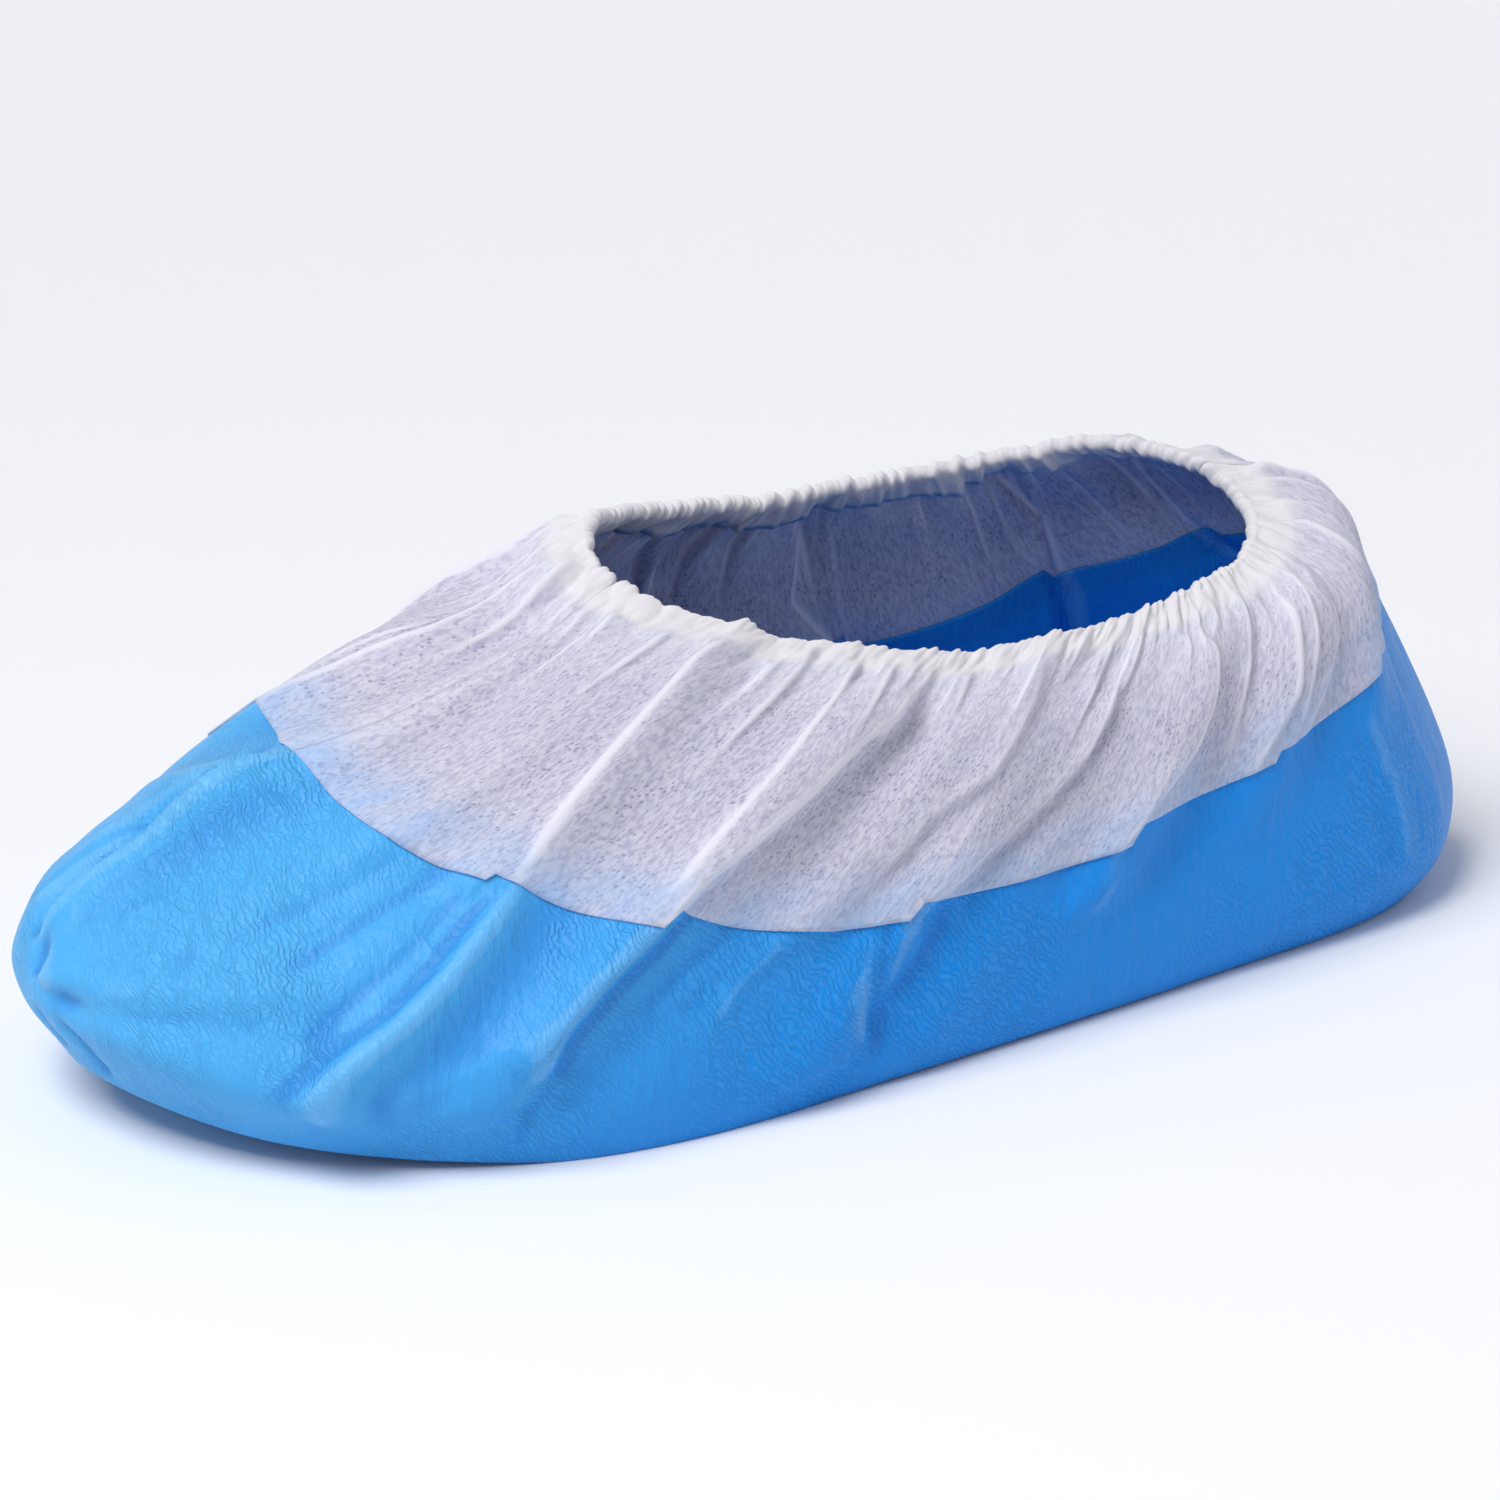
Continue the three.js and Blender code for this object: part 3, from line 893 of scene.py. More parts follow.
@dataclass
class ClothGrid:
    """Rows of points on the draped surface, with what the finishes want to know of each."""

    points: Array
    crest: Array
    doubled: Array
    below: Array
    above_lap: Array

    CREST_COLUMNS = 3
    CREST_FULL = 0.5

    @staticmethod
    def evened(relief: Array, rounds: int) -> Array:
        """Evens out what a grid is too coarse to show, and leaves its edges as they are.

        Args:
            relief: heights in rows and columns, at least three of each.
            rounds: how often each place is averaged with its neighbours.

        Returns:
            The evened heights.
        """
        for axis in (0, 1) * rounds:
            ends = [(0, 0), (0, 0)]
            ends[axis] = (1, 1)
            wide = np.pad(relief, ends, mode="reflect", reflect_type="odd")
            before, after = np.delete(wide, (-1, -2), axis), np.delete(wide, (0, 1), axis)
            relief = relief / 2 + (before + after) / 4
        return relief

    @classmethod
    def draped(cls, form: DrapeForm, station: Array, height: Array, offset: Array | float,
               rounds: int = 0) -> "ClothGrid":
        """Drapes a grid.

        Args:
            form: the draped surface.
            station: stations, alike in every row.
            height: ring heights, of the same shape.
            offset: how far the cloth's outer face stands off the surface (mm).
            rounds: how often the relief is evened out.

        Returns:
            The draped grid.
        """
        places = form.places(station, height)
        relief, doubled = form.relief(places)
        relief = cls.evened(relief, rounds)
        # How far each place stands above the cloth beside it: the finishes paint highlights on crests from
        # it, and the film paints shade in valleys.
        wide = np.pad(relief, ((0, 0), (cls.CREST_COLUMNS, cls.CREST_COLUMNS)), mode="edge")
        beside = wide[:, :-2 * cls.CREST_COLUMNS] + wide[:, 2 * cls.CREST_COLUMNS:]
        ridge = (relief - beside / 2) / cls.CREST_FULL
        points = places.point + places.out * (relief + offset)[..., None]
        points[..., 2] = np.maximum(points[..., 2], 0)
        return cls(points, np.clip(ridge, -1, 1), doubled, places.below, places.above_lap)


# ---------- Meshes ----------


def linked(name: str, data: bpy.types.ID) -> bpy.types.Object:
    """Puts an object with this data into the scene.

    Args:
        name: the object's name.
        data: its mesh, camera or light.

    Returns:
        The object.
    """
    made = bpy.data.objects.new(name, data)
    bpy.context.scene.collection.objects.link(made)
    return made


def shade(mesh: bpy.types.Mesh, smooth: bool) -> None:
    """Makes all faces of a mesh smooth, or all flat."""
    mesh.polygons.foreach_set("use_smooth", [smooth] * len(mesh.polygons))


def make_plain(piece: bpy.types.Object) -> None:
    """Keeps what a piece's modifiers make as its own mesh, and removes them.

    Args:
        piece: the piece.
    """
    graph = bpy.context.evaluated_depsgraph_get()
    seen = piece.evaluated_get(graph)
    mesh = bpy.data.meshes.new_from_object(seen, preserve_all_data_layers=True, depsgraph=graph)
    piece.modifiers.clear()
    old = piece.data
    piece.data = mesh
    mesh.name = piece.name
    bpy.data.meshes.remove(old)


def thicken(piece: bpy.types.Object, thickness: float) -> None:
    """Gives a sheet its thickness, inwards from its outer face.

    Args:
        piece: the sheet.
        thickness: how thick it gets (mm).
    """
    wall = piece.modifiers.new("wall", "SOLIDIFY")
    wall.thickness = thickness * MM
    wall.offset = -1
    wall.use_rim = True
    make_plain(piece)


def report(piece: bpy.types.Object) -> None:
    """Logs a finished piece's size.

    Args:
        piece: the piece.
    """
    size = [round(length / MM, 1) for length in piece.dimensions]
    triangles = sum(len(face.vertices) - 2 for face in piece.data.polygons)
    LOG.info("%s: %s mm, %d triangles", piece.name, size, triangles)


class SheetMesh:
    """Collects grids of points into one mesh with a UV map and attributes."""

    # How much cloth, in metres of its UV map, goes once round the cover.
    CLOTH_ROUND = 0.82

    def __init__(self) -> None:
        """Starts with no points."""
        self.points: list[Array] = []
        self.faces: list[tuple[int, ...]] = []
        self.uvs: list[tuple[float, float]] = []
        self.values: dict[str, list[Array]] = {}
        self.count = 0

    def add_points(self, points: Array, values: dict[str, Array]) -> Array:
        """Adds a block of points.

        Args:
            points: points in mm, in rows.
            values: attribute values, of the rows' shape.

        Returns:
            The points' numbers, of the rows' shape.
        """
        shape = points.shape[:-1]
        size = int(np.prod(shape))
        self.points.append(points.reshape(-1, 3))
        for name, value in values.items():
            self.values.setdefault(name, []).append(np.broadcast_to(value, shape).reshape(-1))
        numbers = np.arange(self.count, self.count + size).reshape(shape)
        self.count += size
        return numbers

    def add_faces(self, numbers: Array, across: Array, up: Array) -> None:
        """Adds the faces between neighbouring rows and columns, with outward sides for rising rows.

        Args:
            numbers: point numbers in rows and columns.
            across: cloth coordinates along the rows in metres, which spread to the same shape.
            up: cloth coordinates up the columns in metres, likewise.
        """
        uv = np.stack([np.broadcast_to(across, numbers.shape), np.broadcast_to(up, numbers.shape)], axis=-1)
        for row in range(numbers.shape[0] - 1):
            for column in range(numbers.shape[1] - 1):
                corners = ((row, column), (row, column + 1), (row + 1, column + 1), (row + 1, column))
                face = []
                places = []
                for corner in corners:
                    number = int(numbers[corner])
                    if number not in face:
                        face.append(number)
                        places.append(tuple(uv[corner]))
                if len(face) > 2:
                    self.faces.append(tuple(face))
                    self.uvs.extend(places)

    def build(self, name: str) -> bpy.types.Object:
        """Makes the object.

        Args:
            name: the object's name.

        Returns:
            A linked object with smooth faces.
        """
        mesh = bpy.data.meshes.new(name)
        points = np.concatenate(self.points) * MM
        mesh.from_pydata(points.tolist(), [], self.faces)
        layer = mesh.uv_layers.new(name="cloth")
        layer.data.foreach_set("uv", np.array(self.uvs, np.float32).ravel())
        for attribute, blocks in self.values.items():
            made = mesh.attributes.new(attribute, "FLOAT", "POINT")
            made.data.foreach_set("value", np.concatenate(blocks).astype(np.float32))
        shade(mesh, True)
        mesh.update()
        return linked(name, mesh)


# ---------- Finishes ----------


def new_material(name: str) -> tuple[bpy.types.Material, bpy.types.NodeTree, bpy.types.Node]:
    """Starts a material.

    Args:
        name: what the real material is.

    Returns:
        The material, its node tree and its shader.
    """
    made = bpy.data.materials.new(name)
    made.use_nodes = True
    return made, made.node_tree, made.node_tree.nodes["Principled BSDF"]


@dataclass(frozen=True)
class EmbossedFilm:
    """Cast polyethylene film, embossed while warm between rollers.

    The emboss breaks its soft gloss into fine wavy lines. The film is paler towards the toe and upwards,
    partly where it is pulled tight and thin and partly as painted light. Its crests carry a painted
    highlight and its valleys a painted shade, and its tone varies in clouds where it hangs slack.
    """

    name: str = "embossed_polyethylene_film"
    lit_stretched: str = "#48A6E6"
    slack: str = "#078DE8"
    deep: str = "#0480DA"
    pale_lines_and_highlight: str = "#B4E2FC"
    valley_shade_tone: str = "#0468C4"
    cloud_mm: float = 38.0

    # It is paler towards the toe and upwards, more and more between these two distances: partly the film
    # pulled tight and thin, partly painted light.
    light_and_stretch_way: tuple[float, float, float] = (0.0, -0.6, 0.8)
    light_and_stretch_mm: tuple[float, float] = (20.0, 125.0)

    # The real emboss repeats about every half millimetre. It is drawn coarser, so that it shows.
    # Wavy ripples and fine upright lines take turns over the cloudy areas.
    line_mm: float = 1.2
    ripple_mm: float = 1.7
    emboss_depth_mm: float = 0.3
    emboss_strength: float = 0.65
    emboss_tint: float = 0.06
    ripple_areas: tuple[float, float] = (0.42, 0.56)

    # Soft crinkles, longer upright than across.
    crinkle_mm: float = 6.5
    crinkle_depth_mm: float = 2.0
    crinkle_strength: float = 0.6
    upright: tuple[float, float, float] = (1.0, 1.0, 0.3)

    # How sharp a crest or valley is, from and to, and the least and most of the painted highlight on crests
    # and of the painted shade in valleys.
    crest_highlight: tuple[float, ...] = (0.5, 1.0, 0.0, 0.14)
    valley_shade: tuple[float, ...] = (-0.12, -0.9, 0.0, 0.44)

    roughness: float = 0.4
    ior: float = 1.5
    specular: float = 0.15
    scatter: float = 0.12
    scatter_colour: tuple[float, float, float] = (0.3, 0.8, 1.0)
    scatter_mm: float = 2.0

    # A wave texture of scale one repeats every fifth of pi.
    WAVE_TO_PITCH = math.pi / 5

    def material(self) -> bpy.types.Material:
        """Builds the film's material.

        Returns:
            The material.
        """
        made, tree, shader = new_material(self.name)
        place = add_node(tree, "ShaderNodeTexCoord")
        crest = add_node(tree, "ShaderNodeAttribute", attribute_name="crest")
        clouds = add_node(tree, "ShaderNodeTexNoise", {
            "Vector": place.outputs["Object"], "Scale": 1 / (self.cloud_mm * MM), "Detail": 4.0,
        })
        ripples = add_node(tree, "ShaderNodeTexWave", {
            "Vector": place.outputs["Object"], "Scale": self.WAVE_TO_PITCH / (self.ripple_mm * MM),
            "Distortion": 16.0, "Detail": 3.0, "Detail Scale": 0.55, "Detail Roughness": 0.6,
        }, wave_type="BANDS", bands_direction="DIAGONAL")
        upright = add_node(tree, "ShaderNodeMapping", {
            "Vector": place.outputs["Object"], "Scale": self.upright,
        })
        lines = add_node(tree, "ShaderNodeTexNoise", {
            "Vector": upright.outputs["Vector"], "Scale": 1 / (self.line_mm * MM),
            "Detail": 1.0, "Distortion": 0.9,
        })
        # The crest measure paints shade in valleys and a highlight on sharp crests.
        areas, valley_shade, crest_highlight = (
            add_node(tree, "ShaderNodeMapRange", {
                "Value": source.outputs["Fac"], **dict(zip(RANGE, sizes)),
            })
            for source, sizes in ((clouds, self.ripple_areas), (crest, self.valley_shade), (crest, self.crest_highlight))
        )
        emboss = add_node(tree, "ShaderNodeMix", {
            "Factor": areas.outputs["Result"],
            NUMBER_A: lines.outputs["Fac"], NUMBER_B: ripples.outputs["Fac"],
        })
        # Pale emboss lines, plus a painted highlight along sharp crests.
        emboss_and_highlight = add_node(tree, "ShaderNodeMath", {
            0: emboss.outputs[0], 1: self.emboss_tint, 2: crest_highlight.outputs["Result"],
        }, operation="MULTIPLY_ADD")
        along = add_node(tree, "ShaderNodeVectorMath", {
            0: place.outputs["Object"], 1: self.light_and_stretch_way,
        }, operation="DOT_PRODUCT")
        # Paler towards the toe and upwards: partly thin stretched film, partly painted light falling there.
        pulled = add_node(tree, "ShaderNodeMapRange", {
            "Value": along.outputs["Value"],
            "From Min": self.light_and_stretch_mm[0] * MM, "From Max": self.light_and_stretch_mm[1] * MM,
        }, interpolation_type="SMOOTHSTEP")

        # Each tone is laid over those before it: slack clouds, the paler toe and top (partly stretched
        # film, partly painted light), painted shade in valleys, and pale emboss lines with a painted
        # highlight on crests.
        tone = linear(self.deep)
        for share, over in (
            (clouds.outputs["Fac"], self.slack),
            (pulled.outputs["Result"], self.lit_stretched),
            (valley_shade.outputs["Result"], self.valley_shade_tone),
            (emboss_and_highlight.outputs[0], self.pale_lines_and_highlight),
        ):
            mixed = add_node(tree, "ShaderNodeMix", {
                "Factor": share, COLOUR_A: tone, COLOUR_B: linear(over),
            }, data_type="RGBA")
            tone = mixed.outputs[COLOUR_OUT]

        embossed = add_node(tree, "ShaderNodeBump", {
            "Height": emboss.outputs[0],
            "Strength": self.emboss_strength, "Distance": self.emboss_depth_mm * MM,
        })
        crinkles = add_node(tree, "ShaderNodeTexNoise", {
            "Vector": upright.outputs["Vector"], "Scale": 1 / (self.crinkle_mm * MM),
            "Detail": 2.0, "Distortion": 0.5,
        })
        # Noise folded at its middle gives sharp lines instead of soft hills.
        centred = add_node(tree, "ShaderNodeMath", {
            0: crinkles.outputs["Fac"], 1: 0.5,
        }, operation="SUBTRACT")
        ridged = add_node(tree, "ShaderNodeMath", {0: centred.outputs[0]}, operation="ABSOLUTE")
        folds = add_node(tree, "ShaderNodeBump", {
            "Height": ridged.outputs[0], "Normal": embossed.outputs["Normal"],
            "Strength": self.crinkle_strength, "Distance": self.crinkle_depth_mm * MM,
        }, invert=True)
        fill(tree, shader, {
            "Base Color": tone,
            "Normal": folds.outputs["Normal"],
            "Roughness": self.roughness,
            "IOR": self.ior,
            "Specular IOR Level": self.specular,
            "Subsurface Weight": self.scatter,
            "Subsurface Radius": self.scatter_colour,
            "Subsurface Scale": self.scatter_mm * MM,
        })
        return made


@dataclass(frozen=True)
class SpunbondNonwoven:
    """Spunbonded polypropylene: fine white filaments laid loose and bonded by heat at small points.

    Light passes through its thin spots and bond points, so it looks flecked and greyish where it
    lies flat, and dense white in the doubled hem and on folds, whose ridges also carry a painted
    highlight. The film behind it shows at the lap, and the elastic's warmer tone through the hem.
    """

    name: str = "spunbond_polypropylene"
    dense: str = "#DBDAE5"
    flat: str = "#C8C7D6"
    grain: str = "#ACABC2"
    fleck: str = "#787892"
    film: str = "#8AB8E8"
    elastic: str = "#DCD9DA"
    elastic_share: float = 0.7

    # A real filament is 0.02 mm thick and a bond point 0.6 mm wide. Both are drawn coarser, so that
    # they show. The web is laid aslant and drawn out one way.
    grain_mm: float = 1.1
    grain_contrast: tuple[float, float] = (0.42, 0.62)
    grain_depth_mm: float = 0.2
    grain_strength: float = 0.5
    laid_turn: tuple[float, float, float] = (0.0, 0.0, 0.6)
    laid_stretch: tuple[float, float, float] = (1.0, 0.45, 1.0)
    fleck_pitch_mm: float = 1.6
    fleck_edge: tuple[float, float] = (0.34, 0.14)

    # Clouds of thinner and thicker web, and how much they let flecks and film show.
    cloud_mm: float = 16.0
    cloud_depth_mm: float = 1.6
    cloud_strength: float = 0.6
    cloud_flecks: tuple[float, ...] = (0.3, 0.62, 0.1, 0.75)
    cloud_film: tuple[float, ...] = (0.3, 0.7, 0.1, 0.65)

    # How strongly ridges turn dense white: partly denser cloth, partly a painted highlight.
    ridge: tuple[float, float] = (0.0, 0.9)
    roughness: float = 0.85
    specular: float = 0.25
    scatter: float = 0.3
    scatter_colour: tuple[float, float, float] = (1.0, 1.0, 1.0)
    scatter_mm: float = 0.8

    def material(self) -> bpy.types.Material:
        """Builds the nonwoven's material.

        Returns:
            The material.
        """
        made, tree, shader = new_material(self.name)
        place = add_node(tree, "ShaderNodeTexCoord")
        crest = add_node(tree, "ShaderNodeAttribute", attribute_name="crest")
        hem = add_node(tree, "ShaderNodeAttribute", attribute_name="hem")
        lap = add_node(tree, "ShaderNodeAttribute", attribute_name="lap")
        clouds = add_node(tree, "ShaderNodeTexNoise", {
            "Vector": place.outputs["UV"], "Scale": 1 / (self.cloud_mm * MM), "Detail": 3.0,
        })
        laid = add_node(tree, "ShaderNodeMapping", {
            "Vector": place.outputs["UV"], "Rotation": self.laid_turn, "Scale": self.laid_stretch,
        })
        grain = add_node(tree, "ShaderNodeTexNoise", {
            "Vector": laid.outputs["Vector"], "Scale": 1 / (self.grain_mm * MM),
            "Detail": 3.0, "Roughness": 0.6, "Distortion": 0.6,
        })
        bonds = add_node(tree, "ShaderNodeTexVoronoi", {
            "Vector": place.outputs["UV"], "Scale": 1 / (self.fleck_pitch_mm * MM),
        })
        dots, ridge, contrast, cloudy, thin = (
            add_node(tree, "ShaderNodeMapRange", {
                "Value": source, **dict(zip(RANGE, sizes)),
            }).outputs["Result"]
            for source, sizes in (
                (bonds.outputs["Distance"], self.fleck_edge),
                (crest.outputs["Fac"], self.ridge),
                (grain.outputs["Fac"], self.grain_contrast),
                (clouds.outputs["Fac"], self.cloud_flecks),
                (clouds.outputs["Fac"], self.cloud_film),
            )
        )

        # Dense on ridges, partly as a painted highlight, and in the hem, loose elsewhere: grain and flecks
        # show in the loose web alone.
        dense_and_lit = add_node(tree, "ShaderNodeMath", {0: ridge, 1: hem.outputs["Fac"]}, operation="MAXIMUM")
        loose = add_node(tree, "ShaderNodeMath", {0: 1.0, 1: dense_and_lit.outputs[0]}, operation="SUBTRACT")
        grained, speckled, through, warm = (
            add_node(tree, "ShaderNodeMath", {0: first, 1: second}, operation="MULTIPLY").outputs[0]
            for first, second in (
                (contrast, loose.outputs[0]),
                (cloudy, dots),
                (thin, lap.outputs["Fac"]),
                (hem.outputs["Fac"], self.elastic_share),
            )
        )
        flecks = add_node(tree, "ShaderNodeMath", {0: speckled, 1: loose.outputs[0]}, operation="MULTIPLY")

        # Each tone is laid over those before it.
        tone = linear(self.dense)
        for share, over in (
            (loose.outputs[0], self.flat),
            (grained, self.grain),
            (flecks.outputs[0], self.fleck),
            (through, self.film),
            (warm, self.elastic),
        ):
            mixed = add_node(tree, "ShaderNodeMix", {
                "Factor": share, COLOUR_A: tone, COLOUR_B: linear(over),
            }, data_type="RGBA")
            tone = mixed.outputs[COLOUR_OUT]

        web = add_node(tree, "ShaderNodeBump", {
            "Height": grain.outputs["Fac"],
            "Strength": self.grain_strength, "Distance": self.grain_depth_mm * MM,
        })
        soft = add_node(tree, "ShaderNodeBump", {
            "Height": clouds.outputs["Fac"], "Normal": web.outputs["Normal"],
            "Strength": self.cloud_strength, "Distance": self.cloud_depth_mm * MM,
        })
        fill(tree, shader, {
            "Base Color": tone,
            "Normal": soft.outputs["Normal"],
            "Roughness": self.roughness,
            "Specular IOR Level": self.specular,
            "Subsurface Weight": self.scatter,
            "Subsurface Radius": self.scatter_colour,
            "Subsurface Scale": self.scatter_mm * MM,
        })
        return made


@dataclass(frozen=True)
class GrainedFinish:
    """A finish of two near tones and a low relief that follow one fine grain."""

    name: str
    body: str
    shade: str
    roughness: float
    grain_mm: float
    detail: float
    relief: float
    relief_mm: float

    def material(self) -> bpy.types.Material:
        """Builds the material.

        Returns:
            The material.
        """
        made, tree, shader = new_material(self.name)
        place = add_node(tree, "ShaderNodeTexCoord")
        grain = add_node(tree, "ShaderNodeTexNoise", {
            "Vector": place.outputs["Object"], "Scale": 1 / (self.grain_mm * MM), "Detail": self.detail,
        })
        colour = add_node(tree, "ShaderNodeMix", {
            "Factor": grain.outputs["Fac"], COLOUR_A: linear(self.shade), COLOUR_B: linear(self.body),
        }, data_type="RGBA")
        bump = add_node(tree, "ShaderNodeBump", {
            "Height": grain.outputs["Fac"], "Strength": self.relief, "Distance": self.relief_mm * MM,
        })
        fill(tree, shader, {
            "Base Color": colour.outputs[COLOUR_OUT],
            "Normal": bump.outputs["Normal"],
            "Roughness": self.roughness,
        })
        return made


# Extruded natural rubber thread: slightly yellow and matt, with a fine dusty grain.
RUBBER_THREAD = GrainedFinish(
    name="natural_rubber_thread", body="#EDE3C8", shade="#D6C69F", roughness=0.65,
    grain_mm=1.2, detail=4.0, relief=0.3, relief_mm=0.15,
)

# Film and nonwoven fused between hot bars: stiffer, glossier and a paler blue than the film.
FUSED_LAYERS = GrainedFinish(
    name="fused_film_and_nonwoven", body="#6DB8EC", shade="#4AA2E2", roughness=0.3,
    grain_mm=1.5, detail=3.0, relief=0.4, relief_mm=0.2,
)


# ---------- The film ----------


@dataclass
class FilmSkirt:
    """The blue film: sole and both lower sides in one sheet."""

    form: DrapeForm
    finish: EmbossedFilm
    columns: int = 640
    rows: int = 66
    round_rows: int = 5
    sole_strips: int = 8
    evening: int = 2
    edge_round: float = 3.6
    edge_height: float = 0.13
    lap: float = 0.22
    thickness: float = 0.4
    flat_size: tuple[float, float] = (0.235, 0.400)

    def build(self) -> bpy.types.Object:
        """Makes the film and hangs it on the part.

        Returns:
            The finished piece.
        """
        form = self.form
        station = form.even_stations(Ring.BELLY, 0, form.STATIONS, self.columns + 1)
        top = form.lap_line(station) + self.lap
        share = np.linspace(0, 1, self.rows)[:, None]
        height = self.edge_height + share * (top - self.edge_height)
        stations = np.broadcast_to(station, height.shape)
        skirt = ClothGrid.draped(form, stations, height, 0.0, self.evening)
        rounded = self._rounded_edge(station, height[0], skirt.points[0])

        points = np.concatenate([rounded, skirt.points])[:, :-1]
        crest = np.concatenate([np.zeros(rounded.shape[:2]), skirt.crest])[:, :-1]
        mesh = SheetMesh()
        numbers = mesh.add_points(points, {"crest": crest})
        wrapped = np.concatenate([numbers, numbers[:, :1]], axis=1)
        below = np.concatenate([skirt.below[:1] + np.zeros((self.round_rows, 1)), skirt.below])
        across = np.linspace(0, mesh.CLOTH_ROUND, self.columns + 1)
        mesh.add_faces(wrapped, across, (below.max() - below) * MM)
        self._add_sole(mesh, points[0], numbers[0])

        piece = mesh.build("film_skirt")
        thicken(piece, self.thickness)
        piece.data.materials.append(self.finish.material())
        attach(piece, "root")
        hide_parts("lower_film")
        return piece

    def _rounded_edge(self, station: Array, height: Array, edge: Array) -> Array:
        """Rounds the film from under the sole up to its first row.

        Args:
            station: the row's stations.
            height: the row's ring heights.
            edge: the row's points (mm).

        Returns:
            The rows that lead up to it.
        """
        level = np.array([1.0, 1.0, 0.0])
        shift = (edge - self.form.smooth(station, height)) * level
        corner = self.form.smooth(station, np.zeros_like(station)) + shift
        inward = unit((corner.mean(axis=0) - corner) * level)
        inset = corner + inward * self.edge_round
        turn = np.linspace(0, 1, self.round_rows + 1)[:-1, None, None]
        return (1 - turn) ** 2 * inset + 2 * turn * (1 - turn) * corner + turn ** 2 * edge

    def _add_sole(self, mesh: SheetMesh, edge: Array, numbers: Array) -> None:
        """Closes the bottom with strips from side to side.

        Args:
            mesh: the mesh to add to.
            edge: the sole's edge points (mm).
            numbers: their numbers.
        """
        half = self.columns // 2
        share = np.linspace(0, 1, self.sole_strips + 1)[1:-1, None]
        rows = [np.full(self.sole_strips + 1, numbers[0])]
        places = [np.broadcast_to(edge[0][:2], (self.sole_strips + 1, 2))]
        for step in range(1, half):
            left = edge[step]
            right = edge[self.columns - step]
            between = left + share * (right - left)
            inner = mesh.add_points(between, {"crest": np.zeros(len(between))})
            rows.append(np.concatenate([[numbers[step]], inner, [numbers[self.columns - step]]]))
            places.append(np.vstack([left, between, right])[:, :2])
        rows.append(np.full(self.sole_strips + 1, numbers[half]))
        places.append(np.broadcast_to(edge[half][:2], (self.sole_strips + 1, 2)))
        place = np.array(places) * MM
        mesh.add_faces(np.array(rows), place[..., 0], place[..., 1])


# ---------- The nonwoven ----------


